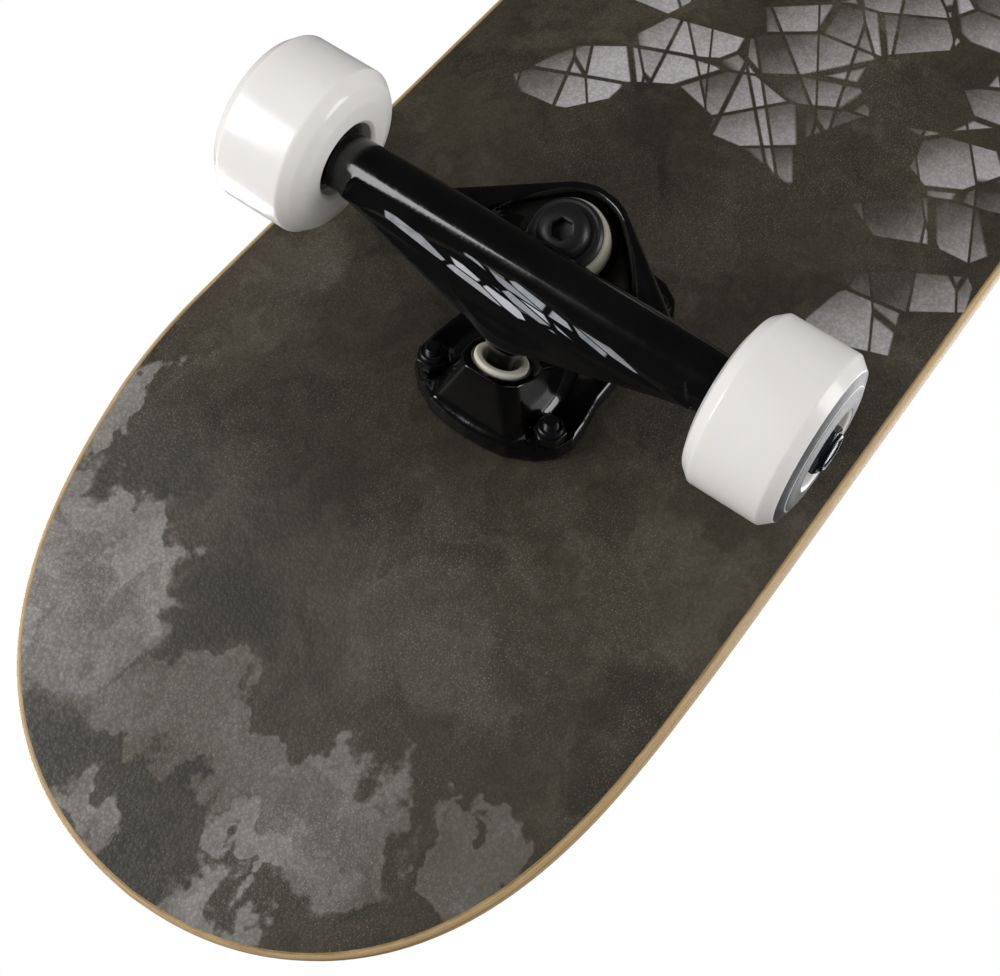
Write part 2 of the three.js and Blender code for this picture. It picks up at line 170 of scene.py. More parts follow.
def lathe(name, profile, seg=64, axis=(0, 0, 1), at=(0, 0, 0), closed=False, angle=32, radial=None, mat_of=None):
    """A profile of (radius, height) turned about axis. radial(theta, h, r) may change the radius."""
    e1, e2, ax = basis(axis)
    at = np.asarray(at, float)
    rows, verts = [], []
    for r, h in profile:
        if r < 1e-6:
            rows.append([len(verts)])
            verts.append(at + ax * h)
        else:
            row = []
            for k in range(seg):
                t = 2 * math.pi * k / seg
                rr = radial(t, h, r) if radial else r
                row.append(len(verts))
                verts.append(at + ax * h + (e1 * math.cos(t) + e2 * math.sin(t)) * rr)
            rows.append(row)
    faces, tags = [], []
    pairs = list(zip(range(len(rows) - 1), range(1, len(rows))))
    if closed:
        pairs.append((len(rows) - 1, 0))
    for i, j in pairs:
        a, b = rows[i], rows[j]
        if len(a) == 1 and len(b) == 1:
            continue
        for k in range(seg):
            k2 = (k + 1) % seg
            if len(a) == 1:
                faces.append((a[0], b[k], b[k2]))
            elif len(b) == 1:
                faces.append((a[k], b[0], a[k2]))
            else:
                faces.append((a[k], b[k], b[k2], a[k2]))
            tags.append(i)
    me = new_mesh(name, verts, faces, angle)
    if mat_of:
        me.polygons.foreach_set("material_index", [mat_of(t) for t in tags])
    return me


# ---- signed distance solids, for the castings ---------------------------------------------
def smax(a, b, k):
    h = np.maximum(k - np.abs(a - b), 0) / k
    return np.maximum(a, b) + h * h * k * 0.25


def smin(a, b, k):
    return -smax(-a, -b, k)


def hull_planes(points):
    bm = bmesh.new()
    for p in points:
        bm.verts.new(p)
    res = bmesh.ops.convex_hull(bm, input=bm.verts)
    for v in [e for e in res["geom_unused"] + res["geom_interior"] if isinstance(e, bmesh.types.BMVert)]:
        if v.is_valid:
            bm.verts.remove(v)
    bm.normal_update()
    cen = Vector(np.mean(np.array(points, float), 0))
    planes = []
    for f in bm.faces:
        n = f.normal.copy()
        c = n.dot(f.verts[0].co)
        if n.dot(cen) > c:
            n, c = -n, -c
        if all((n - m).length > 0.03 or abs(c - d) > 0.25 for m, d in planes):
            planes.append((n, c))
    bm.free()
    return planes


def convex(P, points, k=1.0):
    d = None
    for n, c in hull_planes(points):
        e = P[0] * n.x + P[1] * n.y + P[2] * n.z - c
        d = e if d is None else smax(d, e, k)
    return d


def both(list3):
    return [p for x, y, z in list3 for p in ((x, y, z), (x, -y, z))]


def polygon_sdf(X, Y, pts):
    d = np.full(X.shape, 1e9)
    inside = np.zeros(X.shape, bool)
    n = len(pts)
    for i in range(n):
        ax_, ay_ = pts[i]
        bx_, by_ = pts[(i + 1) % n]
        ex, ey = bx_ - ax_, by_ - ay_
        wx, wy = X - ax_, Y - ay_
        t = np.clip((wx * ex + wy * ey) / (ex * ex + ey * ey), 0, 1)
        d = np.minimum(d, np.hypot(wx - ex * t, wy - ey * t))
        c = (ay_ > Y) != (by_ > Y)
        with np.errstate(divide="ignore", invalid="ignore"):
            xi = ax_ + (Y - ay_) * ex / (ey if ey != 0 else 1e-9)
        inside ^= c & (X < xi)
    return np.where(inside, -d, d)


def surface_nets(f, origin, h):
    """Quads on the zero surface of f, a grid of distances, negative inside."""
    nx, ny, nz = f.shape
    ins = f < 0
    corner = {}
    for i in (0, 1):
        for j in (0, 1):
            for k in (0, 1):
                corner[i, j, k] = f[i : nx - 1 + i, j : ny - 1 + j, k : nz - 1 + k]
    cnt = sum((c < 0).astype(np.int8) for c in corner.values())
    mask = (cnt > 0) & (cnt < 8)
    acc = np.zeros((int(mask.sum()), 3))
    num = np.zeros(int(mask.sum()))
    vals = {k: v[mask] for k, v in corner.items()}
    for a in corner:
        for ax in range(3):
            if a[ax]:
                continue
            b = list(a)
            b[ax] = 1
            fa, fb = vals[a], vals[tuple(b)]
            cr = (fa < 0) != (fb < 0)
            t = np.where(cr, fa / np.where(cr, fa - fb, 1), 0)
            p = np.repeat(np.array(a, float)[None], len(fa), 0)
            p[:, ax] += t
            acc += p * cr[:, None]
            num += cr
    cells = np.argwhere(mask)
    pos = cells + acc / num[:, None]
    vid = np.full(mask.shape, -1, np.int64)
    vid[mask] = np.arange(len(pos))
    quads = []
    for ax in range(3):
        o1, o2 = [(1, 2), (2, 0), (0, 1)][ax]
        lo = [slice(None)] * 3
        hi = [slice(None)] * 3
        lo[ax], hi[ax] = slice(0, -1), slice(1, None)
        a, b = ins[tuple(lo)], ins[tuple(hi)]
        ch = np.argwhere(a != b)
        ok = (ch[:, o1] > 0) & (ch[:, o2] > 0) & (ch[:, o1] < f.shape[o1] - 1) & (ch[:, o2] < f.shape[o2] - 1)
        ch = ch[ok]
        fl = a[tuple(ch.T)]

        def cell(d1, d2):
            c = ch.copy()
            c[:, o1] += d1
            c[:, o2] += d2
            return vid[tuple(c.T)]

        q = np.stack([cell(-1, -1), cell(0, -1), cell(0, 0), cell(-1, 0)], 1)
        q[~fl] = q[~fl][:, ::-1]
        quads.append(q)
    quads = np.concatenate(quads)
    # pull the vertices onto the surface
    for _ in range(3):
        g = np.clip(pos, 0, np.array(f.shape) - 1.001)
        b = g.astype(int)
        t = g - b
        w = {}
        val = 0
        grad = np.zeros_like(pos)
        for i in (0, 1):
            for j in (0, 1):
                for k in (0, 1):
                    v = f[b[:, 0] + i, b[:, 1] + j, b[:, 2] + k]
                    wx = t[:, 0] if i else 1 - t[:, 0]
                    wy = t[:, 1] if j else 1 - t[:, 1]
                    wz = t[:, 2] if k else 1 - t[:, 2]
                    val = val + v * wx * wy * wz
                    grad[:, 0] += v * (1 if i else -1) * wy * wz
                    grad[:, 1] += v * (1 if j else -1) * wx * wz
                    grad[:, 2] += v * (1 if k else -1) * wx * wy
        step = (val / np.maximum((grad**2).sum(1), 0.05))[:, None] * grad
        pos = pos - np.clip(step, -0.35, 0.35)
    return pos * h + np.asarray(origin), quads


def cast(name, func, lo, hi, h):
    ax = [np.arange(lo[i] - 2 * h, hi[i] + 2 * h + h, h) for i in range(3)]
    P = np.meshgrid(*ax, indexing="ij")
    f = func(P).astype(np.float64)
    pos, quads = surface_nets(f, [a[0] for a in ax], h)
    me = new_mesh(name, pos, quads, angle=None, recalc=False)
    # keep the largest connected shell
    bm = bmesh.new()
    bm.from_mesh(me)
    seen, best = set(), []
    for v in bm.verts:
        if v.index in seen:
            continue
        stack, comp = [v], []
        seen.add(v.index)
        while stack:
            q = stack.pop()
            comp.append(q)
            for e in q.link_edges:
                o = e.other_vert(q)
                if o.index not in seen:
                    seen.add(o.index)
                    stack.append(o)
        if len(comp) > len(best):
            best = comp
    keep = set(best)
    bmesh.ops.delete(bm, geom=[v for v in bm.verts if v not in keep], context="VERTS")
    bm.to_mesh(me)
    bm.free()
    me.update()
    return me


# ------------------------------------------------------------------------------------------
# Materials
# ------------------------------------------------------------------------------------------
class Nodes:
    def __init__(self, name):
        self.m = bpy.data.materials.new(name)
        self.m.use_nodes = True
        self.t = self.m.node_tree
        self.t.nodes.clear()
        self.out = self.t.nodes.new("ShaderNodeOutputMaterial")
        self.b = self.t.nodes.new("ShaderNodeBsdfPrincipled")
        self.t.links.new(self.b.outputs[0], self.out.inputs[0])
        self._co = None

    def n(self, kind, **kw):
        nd = self.t.nodes.new("ShaderNode" + kind)
        ins = kw.pop("ins", {})
        for k, v in kw.items():
            setattr(nd, k, v)
        for k, v in ins.items():
            self.set(nd.inputs[k], v)
        return nd

    def set(self, sock, v):
        if isinstance(v, bpy.types.NodeSocket):
            self.t.links.new(v, sock)
        elif isinstance(v, bpy.types.Node):
            self.t.links.new(v.outputs[0], sock)
        else:
            sock.default_value = v

    @property
    def co(self):
        if self._co is None:
            self._co = self.n("TexCoord").outputs["Object"]
        return self._co

    def noise(self, scale, detail=4, rough=0.55, dist=0.0, co=None, lac=2.0):
        return self.n("TexNoise", ins={"Vector": co or self.co, "Scale": scale, "Detail": detail, "Roughness": rough, "Distortion": dist, "Lacunarity": lac}).outputs["Fac"]

    def voronoi(self, scale, feature="F1", co=None, rand=1.0, smooth=None, out="Distance"):
        nd = self.n("TexVoronoi", feature=feature, ins={"Vector": co or self.co, "Scale": scale, "Randomness": rand})
        if smooth is not None and feature == "SMOOTH_F1":
            nd.inputs["Smoothness"].default_value = smooth
        return nd.outputs[out]

    def math(self, op, a, b=0.0, c=None, clamp=False):
        nd = self.n("Math", operation=op, use_clamp=clamp)
        self.set(nd.inputs[0], a)
        self.set(nd.inputs[1], b)
        if c is not None:
            self.set(nd.inputs[2], c)
        return nd.outputs[0]

    def map(self, v, a, b, c=0.0, d=1.0, smooth=False):
        nd = self.n("MapRange", interpolation_type="SMOOTHSTEP" if smooth else "LINEAR")
        for i, x in zip(("Value", "From Min", "From Max", "To Min", "To Max"), (v, a, b, c, d)):
            self.set(nd.inputs[i], x)
        return nd.outputs[0]

    def mix(self, f, a, b, kind="MIX"):
        nd = self.n("Mix", data_type="RGBA", blend_type=kind)
        nd.clamp_factor = True
        self.set(nd.inputs[0], f)
        self.set(nd.inputs[6], a)
        self.set(nd.inputs[7], b)
        return nd.outputs[2]

    def ramp(self, f, stops, interp="LINEAR"):
        nd = self.n("ValToRGB")
        cr = nd.color_ramp
        cr.interpolation = interp
        while len(cr.elements) < len(stops):
            cr.elements.new(0.5)
        for e, (p, c) in zip(cr.elements, stops):
            e.position = p
            e.color = (*c, 1) if len(c) == 3 else c
        self.set(nd.inputs[0], f)
        return nd.outputs[0]

    def bump(self, h, strength, dist=0.001, normal=None):
        nd = self.n("Bump", ins={"Height": h, "Strength": strength, "Distance": dist})
        if normal is not None:
            self.set(nd.inputs["Normal"], normal)
        return nd.outputs[0]

    def scaled(self, s, co=None):
        return self.n("Mapping", ins={"Vector": co or self.co, "Scale": s}).outputs[0]

    def attr(self, name, out="Fac"):
        return self.n("Attribute", attribute_name=name).outputs[out]

    def done(self, **kw):
        for k, v in kw.items():
            self.set(self.b.inputs[k.replace("_", " ")], v)
        return self.m


def srgb(r, g, b):
    f = lambda c: c / 12.92 if c <= 0.04045 else ((c + 0.055) / 1.055) ** 2.4
    return (f(r / 255), f(g / 255), f(b / 255), 1.0)


def grey(v, warm=0.0):
    return srgb(v * (1 + warm), v, v * (1 - 1.3 * warm))


def mat_paint(name="truck_paint", base=(0.0021, 0.0021, 0.0022, 1), rough=0.13, decal=False):
    N = Nodes(name)
    big = N.noise(55, 3, 0.5)
    peel = N.noise(700, 2, 0.5)
    pores = N.voronoi(380, "F1")
    pore = N.map(pores, 0.0, 0.14, 1.0, 0.0)
    dust = N.map(N.noise(2300, 2, 0.6), 0.68, 0.76)
    col = N.mix(N.map(big, 0.35, 0.65), base, (base[0] * 1.8, base[1] * 1.75, base[2] * 1.7, 1))
    col = N.mix(N.math("MULTIPLY", dust, 0.08), col, (0.10, 0.10, 0.10, 1))
    h = N.math("ADD", N.math("MULTIPLY", peel, 0.7), N.math("MULTIPLY", pore, -0.35))
    r = N.map(N.noise(130, 4, 0.6), 0.3, 0.7, rough * 0.75, rough * 1.45)
    metal = 0.0
    if decal:
        # a scatter of silver splinters printed on the front facet of the casting
        sep = N.n("SeparateXYZ", ins={"Vector": N.co})
        x, y, z = sep.outputs
        out = N.math("ADD", N.math("MULTIPLY", N.math("SUBTRACT", x, RIDGE[0] * MM), FN[0]), N.math("MULTIPLY", N.math("SUBTRACT", z, RIDGE[1] * MM), FN[1]))
        up = N.math("ADD", N.math("MULTIPLY", N.math("SUBTRACT", x, RIDGE[0] * MM), FT[0]), N.math("MULTIPLY", N.math("SUBTRACT", z, RIDGE[1] * MM), FT[1]))
        q = N.n("CombineXYZ", ins={0: N.math("ADD", y, 0.0113), 1: up, 2: 0.0}).outputs[0]
        slant = N.n("VectorRotate", rotation_type="Z_AXIS", ins={"Vector": q})
        slant.inputs["Angle"].default_value = rad(9)
        mul = N.n("VectorMath", operation="MULTIPLY", ins={0: slant.outputs[0]})
        mul.inputs[1].default_value = (66.0, 460.0, 1.0)
        c = N.n("TexVoronoi", feature="F1", ins={"Vector": mul.outputs[0], "Scale": 1.0, "Randomness": 1.0})
        e = N.n("TexVoronoi", feature="DISTANCE_TO_EDGE", ins={"Vector": mul.outputs[0], "Scale": 1.0, "Randomness": 1.0})
        rc = N.n("SeparateColor", ins={0: c.outputs["Color"]})
        un = N.n("VectorMath", operation="DIVIDE", ins={0: c.outputs["Position"]})
        un.inputs[1].default_value = (66.0, 460.0, 1.0)
        rt = N.n("VectorRotate", rotation_type="Z_AXIS", ins={"Vector": un.outputs[0]})
        rt.inputs["Angle"].default_value = rad(-9)
        cs = N.n("SeparateXYZ", ins={"Vector": rt.outputs[0]})
        cy, cu = N.math("SUBTRACT", cs.outputs[0], 0.0113), cs.outputs[1]
        # which splinters are inked: a ragged band along the facet, denser in the middle
        ay = N.math("ABSOLUTE", N.math("ADD", cy, 0.001))
        band = N.math("MULTIPLY", N.math("GREATER_THAN", cu, N.math("ADD", 0.0022, N.math("MULTIPLY", ay, 0.10))), N.math("LESS_THAN", cu, N.math("SUBTRACT", 0.0145, N.math("MULTIPLY", ay, 0.22))))
        ink = N.math("GREATER_THAN", rc.outputs[0], N.map(ay, 0.004, 0.034, 0.14, 0.60))
        on = N.math("MULTIPLY", N.math("MULTIPLY", band, ink), N.math("LESS_THAN", N.math("ABSOLUTE", out), 0.0012))
        on = N.math("MULTIPLY", on, N.math("LESS_THAN", ay, 0.033))
        on = N.math("MULTIPLY", on, N.map(e.outputs["Distance"], 0.05, 0.085))
        shade = N.math("ADD", N.math("MULTIPLY", rc.outputs[1], 0.6), N.math("MULTIPLY", N.noise(300, 3, 0.6), 0.5))
        ink_col = N.ramp(shade, [(0.15, srgb(120, 124, 128)[:3]), (0.55, srgb(178, 182, 187)[:3]), (0.95, srgb(216, 219, 224)[:3])])
        col = N.mix(on, col, ink_col)
        r = N.math("ADD", r, N.math("MULTIPLY", on, 0.16))
        h = N.math("ADD", h, N.math("MULTIPLY", on, 0.6))
    return N.done(Base_Color=col, Roughness=r, Normal=N.bump(h, 0.08, 0.0004), Coat_Weight=0.3, Coat_Roughness=0.05, Specular_IOR_Level=0.5)


def mat_steel(name, base, rough=0.3, metallic=1.0, spin=None, speck=0.0):
    N = Nodes(name)
    fine = N.noise(900, 3, 0.6)
    broad = N.noise(90, 4, 0.6)
    if spin == "z":
        line = N.noise(60, 3, 0.6, co=N.scaled((1.0, 1.0, 45.0)))
    elif spin == "y":
        line = N.noise(60, 3, 0.6, co=N.scaled((1.0, 45.0, 1.0)))
    else:
        line = fine
    col = N.mix(N.map(broad, 0.3, 0.7), base, tuple(c * 0.78 for c in base[:3]) + (1,))
    r = N.map(N.math("ADD", N.math("MULTIPLY", broad, 0.6), N.math("MULTIPLY", line, 0.4)), 0.3, 0.7, rough * 0.75, rough * 1.35)
    h = N.math("ADD", N.math("MULTIPLY", line, 0.6), N.math("MULTIPLY", fine, 0.4))
    return N.done(Base_Color=col, Metallic=metallic, Roughness=r, Normal=N.bump(h, 0.08, 0.0003))


def mat_urethane(name, base, dark, rough=0.3, sss=0.25, scale=60):
    N = Nodes(name)
    a = N.noise(scale, 4, 0.55, 0.4)
    b = N.noise(scale * 8, 3, 0.6)
    c = N.voronoi(scale * 0.5, "SMOOTH_F1", smooth=0.6)
    f = N.math("ADD", N.math("MULTIPLY", a, 0.7), N.math("MULTIPLY", c, 0.3))
    col = N.mix(N.map(f, 0.3, 0.75), base, dark)
    r = N.map(b, 0.3, 0.7, rough * 0.8, rough * 1.25)
    h = N.math("ADD", N.math("MULTIPLY", b, 0.5), N.math("MULTIPLY", a, 1.2))
    return N.done(Base_Color=col, Roughness=r, Normal=N.bump(h, 0.06, 0.0004), Subsurface_Weight=sss, Subsurface_Radius=(0.9, 0.75, 0.6), Subsurface_Scale=0.003, IOR=1.5)


SATIN = mat_steel("satin_black_steel", (0.020, 0.020, 0.021, 1), 0.40, 0.35, spin=None)
CREAM = mat_urethane("cream_urethane", srgb(236, 231, 216), srgb(214, 206, 186), 0.42, 0.25, 120)
# top bushing: the same cream urethane made darker to stand for the shade it sits in under the washer and the hanger's
# rim, a painted shade
CREAM_PAINTED_SHADE = mat_urethane("cream_urethane_painted_shade", srgb(176, 172, 156), srgb(148, 143, 127), 0.5, 0.2, 120)
ZINC = mat_steel("zinc_steel", (0.50, 0.51, 0.53, 1), 0.28, 1.0, spin="y")
HARD = mat_steel("black_hardware", (0.012, 0.012, 0.013, 1), 0.26, 0.45)
NUTM = mat_steel("axle_nut_blue_black", (0.010, 0.013, 0.024, 1), 0.24, 0.5)
NYLON = mat_urethane("nylon_insert", srgb(38, 44, 66), srgb(26, 30, 48), 0.5, 0.1, 200)
RACE = mat_steel("bearing_steel", (0.46, 0.47, 0.49, 1), 0.2, 1.0, spin="y")
SHIELD = mat_urethane("bearing_shield", srgb(24, 24, 25), srgb(15, 15, 16), 0.42, 0.0, 300)
WHEEL = mat_urethane("wheel_urethane", srgb(247, 245, 242), srgb(240, 236, 232), 0.2, 0.35, 38)


def mat_wheel_print():
    """A generic airbrushed ring: dark at the hub and rim, silver between, with soft streaks."""
    N = Nodes("wheel_print")
    sep = N.n("SeparateXYZ", ins={"Vector": N.co})
    r = N.math("SQRT", N.math("ADD", N.math("POWER", sep.outputs[0], 2.0), N.math("POWER", sep.outputs[2], 2.0)))
    ang = N.math("ARCTAN2", sep.outputs[2], sep.outputs[0])
    streak = N.noise(1.0, 4, 0.6, 0.8, co=N.n("CombineXYZ", ins={0: N.math("MULTIPLY", N.math("COSINE", ang), 2.2), 1: N.math("MULTIPLY", N.math("SINE", ang), 2.2), 2: N.math("MULTIPLY", r, 60.0)}).outputs[0])
    grain = N.noise(2600, 2, 0.6)
    f = N.math("ADD", N.map(r, 0.0115, 0.0226), N.math("MULTIPLY", N.math("SUBTRACT", streak, 0.5), 0.55))
    col = N.ramp(f, [(0.0, (0.010, 0.010, 0.012)), (0.16, (0.018, 0.019, 0.022)), (0.34, (0.085, 0.088, 0.093)), (0.52, (0.024, 0.025, 0.028)), (0.72, (0.075, 0.078, 0.086)), (0.86, (0.024, 0.024, 0.036)), (1.0, (0.016, 0.016, 0.026))])
    ring = N.map(N.math("ABSOLUTE", N.math("SUBTRACT", r, 0.0187)), 0.00012, 0.00026, 1.0, 0.0)
    col = N.mix(N.math("MULTIPLY", ring, 0.8), col, (0.75, 0.75, 0.76, 1))
    col = N.mix(N.map(grain, 0.35, 0.65, 0.0, 0.35), col, (0.02, 0.02, 0.02, 1))
    return N.done(Base_Color=col, Roughness=N.map(grain, 0.3, 0.7, 0.30, 0.44), Normal=N.bump(grain, 0.05, 0.0002), Specular_IOR_Level=0.14)


PRINT = mat_wheel_print()


# Paler patches of the cloud print, in the row frame: centre x, y, radii, tilt (mm, degrees), strength
PALE = [
    (-337, -70, 27, 36, 10, 0.78), (-351, -6, 12, 58, 0, 0.72), (-352, 34, 20, 17, 20, 0.72), (-386, -27, 9, 13, 0, 1.0), (-385, 19, 13, 14, 0, 0.95),
    (-334, 66, 8, 17, -25, 0.62), (-346, 80, 12, 11, 0, 0.66), (-299, 17, 16, 28, 15, 0.34), (-246, 78, 26, 20, 10, 0.30), (-236, -74, 34, 17, 8, 0.26),
    (-296, -92, 22, 7, 12, 0.92), (-321, -66, 9, 30, 14, 0.95), (-262, 30, 24, 20, 0, 0.24), (-366, -66, 9, 8, 0, 1.0), (-363, 20, 6, 13, 0, 0.9),
    (-60, -55, 60, 26, 0, 0.30), (60, 30, 80, 40, 20, 0.40), (210, -40, 70, 40, 30, 0.75), (300, 45, 50, 40, -20, 0.85), (350, -30, 26, 40, 0, 0.9), (120, -70, 40, 18, 0, 0.5),
]


def mat_deck_print():
    """Storm-cloud print on the underside, with a shattered field of silver shards between the trucks."""
    N = Nodes("deck_print")
    sep = N.n("SeparateXYZ", ins={"Vector": N.co})
    x, y = sep.outputs[0], sep.outputs[1]
    flat = N.n("CombineXYZ", ins={0: x, 1: y, 2: 0.0}).outputs[0]

    def warp(scale, amount, detail, co):
        w = N.n("TexNoise", ins={"Vector": flat, "Scale": scale, "Detail": detail, "Roughness": 0.62})
        v = N.n("VectorMath", operation="SUBTRACT", ins={0: w.outputs["Color"]})
        v.inputs[1].default_value = (0.5, 0.5, 0.5)
        m = N.n("VectorMath", operation="MULTIPLY_ADD", ins={0: v.outputs[0]})
        m.inputs[1].default_value = (amount, amount, 0.0)
        N.set(m.inputs[2], co)
        return m.outputs[0]

    P = warp(95.0, 0.020, 3.0, warp(24.0, 0.072, 4.0, flat))
    # scalloped lobes: the distance field is pulled in and out by rounded cells
    lobes = N.voronoi(75, "SMOOTH_F1", co=P, smooth=0.25)
    field = None
    for cx, cy, rx, ry, tilt, k in PALE:
        mp = N.n("Mapping", vector_type="TEXTURE", ins={"Vector": P})
        mp.inputs["Location"].default_value = (cx * MM, cy * MM, 0)
        mp.inputs["Rotation"].default_value = (0, 0, rad(tilt))
        mp.inputs["Scale"].default_value = (rx * MM, ry * MM, 1)
        ln = N.n("VectorMath", operation="LENGTH", ins={0: mp.outputs[0]}).outputs["Value"]
        ln = N.math("ADD", ln, N.math("MULTIPLY", N.math("SUBTRACT", lobes, 0.42), 0.55))
        e = N.map(ln, 1.13, 0.90, 0.0, k, smooth=True) if k > 0.5 else N.map(ln, 1.55, 0.35, 0.0, k, smooth=True)
        field = e if field is None else N.math("MAXIMUM", field, e)
    soft = N.noise(14, 6, 0.62, 0.3, co=P)
    fine = N.noise(60, 6, 0.68, 0.2, co=P)
    tone = N.math("ADD", N.math("MULTIPLY", soft, 0.6), N.math("MULTIPLY", fine, 0.4))
    level = N.math("ADD", N.math("MULTIPLY", field, 0.62), N.math("MULTIPLY", N.math("SUBTRACT", tone, 0.5), 1.75))
    level = N.math("ADD", level, 0.27)
    cloud = N.ramp(level, [(0.0, srgb(42, 38, 29)[:3]), (0.16, srgb(56, 52, 41)[:3]), (0.34, srgb(71, 65, 52)[:3]), (0.52, srgb(86, 80, 68)[:3]), (0.74, srgb(106, 101, 93)[:3]), (1.0, srgb(146, 143, 138)[:3])])

    # shards: long broken plates in two ragged rows, each fading from silver into the cloud
    def plates(angle, sx, sy, rand):
        t = N.n("VectorRotate", rotation_type="Z_AXIS", ins={"Vector": flat})
        t.inputs["Angle"].default_value = rad(-angle)
        m = N.n("VectorMath", operation="MULTIPLY", ins={0: t.outputs[0]})
        m.inputs[1].default_value = (sx, sy, 1.0)
        c = N.n("TexVoronoi", feature="F1", ins={"Vector": m.outputs[0], "Scale": 1.0, "Randomness": rand})
        e = N.n("TexVoronoi", feature="DISTANCE_TO_EDGE", ins={"Vector": m.outputs[0], "Scale": 1.0, "Randomness": rand})
        d = N.n("VectorMath", operation="DIVIDE", ins={0: c.outputs["Position"]})
        d.inputs[1].default_value = (sx, sy, 1.0)
        r = N.n("VectorRotate", rotation_type="Z_AXIS", ins={"Vector": d.outputs[0]})
        r.inputs["Angle"].default_value = rad(angle)
        return c, e, r

    cells, cracks, back = plates(58, 34.0, 64.0, 0.95)
    cutc, cuts, _ = plates(-31, 15.0, 66.0, 1.0)
    csep = N.n("SeparateXYZ", ins={"Vector": back.outputs[0]})
    cx, cy = csep.outputs[0], csep.outputs[1]
    rnd = N.n("SeparateColor", ins={0: cells.outputs["Color"]})
    r1, r2 = rnd.outputs[0], rnd.outputs[1]
    rnd2 = N.n("SeparateColor", ins={0: cutc.outputs["Color"]})

    def box(v, lo, hi):
        return N.math("MULTIPLY", N.math("GREATER_THAN", v, lo), N.math("LESS_THAN", v, hi))

    slant = N.math("ADD", cx, N.math("MULTIPLY", cy, 0.55))
    rowA = N.math("MULTIPLY", box(cy, 0.045, 0.090), box(slant, -0.110, 0.150))
    rowB = N.math("MULTIPLY", box(cy, -0.024, 0.036), box(slant, -0.108, 0.160))
    # the wing: a long spike from its tip, widening toward the nose, cut off by a slanted gap
    wu = N.math("ADD", N.math("MULTIPLY", N.math("ADD", cx, 0.137), 0.83), N.math("MULTIPLY", N.math("ADD", cy, 0.070), 0.56))
    wv = N.math("ADD", N.math("MULTIPLY", N.math("ADD", cx, 0.137), -0.56), N.math("MULTIPLY", N.math("ADD", cy, 0.070), 0.83))
    wing = N.math("LESS_THAN", N.math("ABSOLUTE", N.math("ADD", wv, N.math("MULTIPLY", wu, 0.12))), N.math("MULTIPLY", wu, 0.34))
    wing = N.math("MULTIPLY", wing, box(wu, 0.004, 0.082))
    wing = N.math("MULTIPLY", wing, N.math("LESS_THAN", cy, -0.027))
    region = N.math("MAXIMUM", N.math("MAXIMUM", rowA, rowB), wing)
    region = N.math("MULTIPLY", region, N.math("GREATER_THAN", r1, 0.10))
    lines = N.math("MULTIPLY", N.map(cracks.outputs["Distance"], 0.028, 0.050), N.map(cuts.outputs["Distance"], 0.016, 0.034))
    mask = N.math("MULTIPLY", region, lines)
    # fade along each shard
    dx, dy = N.math("SUBTRACT", x, cx), N.math("SUBTRACT", y, cy)
    ramp = N.math("ADD", N.math("MULTIPLY", dy, 28.0), N.math("MULTIPLY", dx, -15.0))
    ramp = N.math("ADD", ramp, N.math("MULTIPLY", r2, 0.30))
    ramp = N.math("SUBTRACT", ramp, N.math("MULTIPLY", N.map(cy, 0.0, 0.085), 0.22))
    ramp = N.math("ADD", ramp, N.math("MULTIPLY", rnd2.outputs[0], 0.42))
    ramp = N.math("ADD", ramp, N.math("MULTIPLY", N.math("SUBTRACT", fine, 0.5), 0.5))
    silver = N.ramp(N.math("ADD", ramp, 0.20), [(0.0, srgb(74, 69, 60)[:3]), (0.26, srgb(116, 110, 104)[:3]), (0.55, srgb(166, 161, 160)[:3]), (1.0, srgb(200, 196, 197)[:3])])
    col = N.mix(N.math("MULTIPLY", mask, 0.96), cloud, silver)

    # leather-like grain of the lacquered print, and fine specks in drifts
    cells2 = N.voronoi(900, "F1", co=flat)
    weave = N.noise(1700, 2, 0.6, co=flat)
    grain = N.math("ADD", N.math("MULTIPLY", cells2, 0.6), N.math("MULTIPLY", weave, 0.4))
    col = N.mix(N.map(grain, 0.30, 0.62, 0.0, 0.26), col, (0.012, 0.011, 0.009, 1))
    drift = N.map(N.noise(17, 3, 0.6, co=flat), 0.42, 0.60)
    specks = N.math("MULTIPLY", N.map(N.noise(2000, 2, 0.55, co=flat), 0.57, 0.66), N.math("ADD", N.math("MULTIPLY", drift, 0.75), 0.25))
    specks = N.math("MULTIPLY", specks, N.map(level, 0.2, 0.8, 0.45, 1.0))
    col = N.mix(N.math("MULTIPLY", specks, 0.42), col, srgb(178, 172, 164))
    rough = N.map(grain, 0.3, 0.7, 0.40, 0.56)
    return N.done(Base_Color=col, Roughness=rough, Normal=N.bump(grain, 0.28, 0.00035), Specular_IOR_Level=0.4)


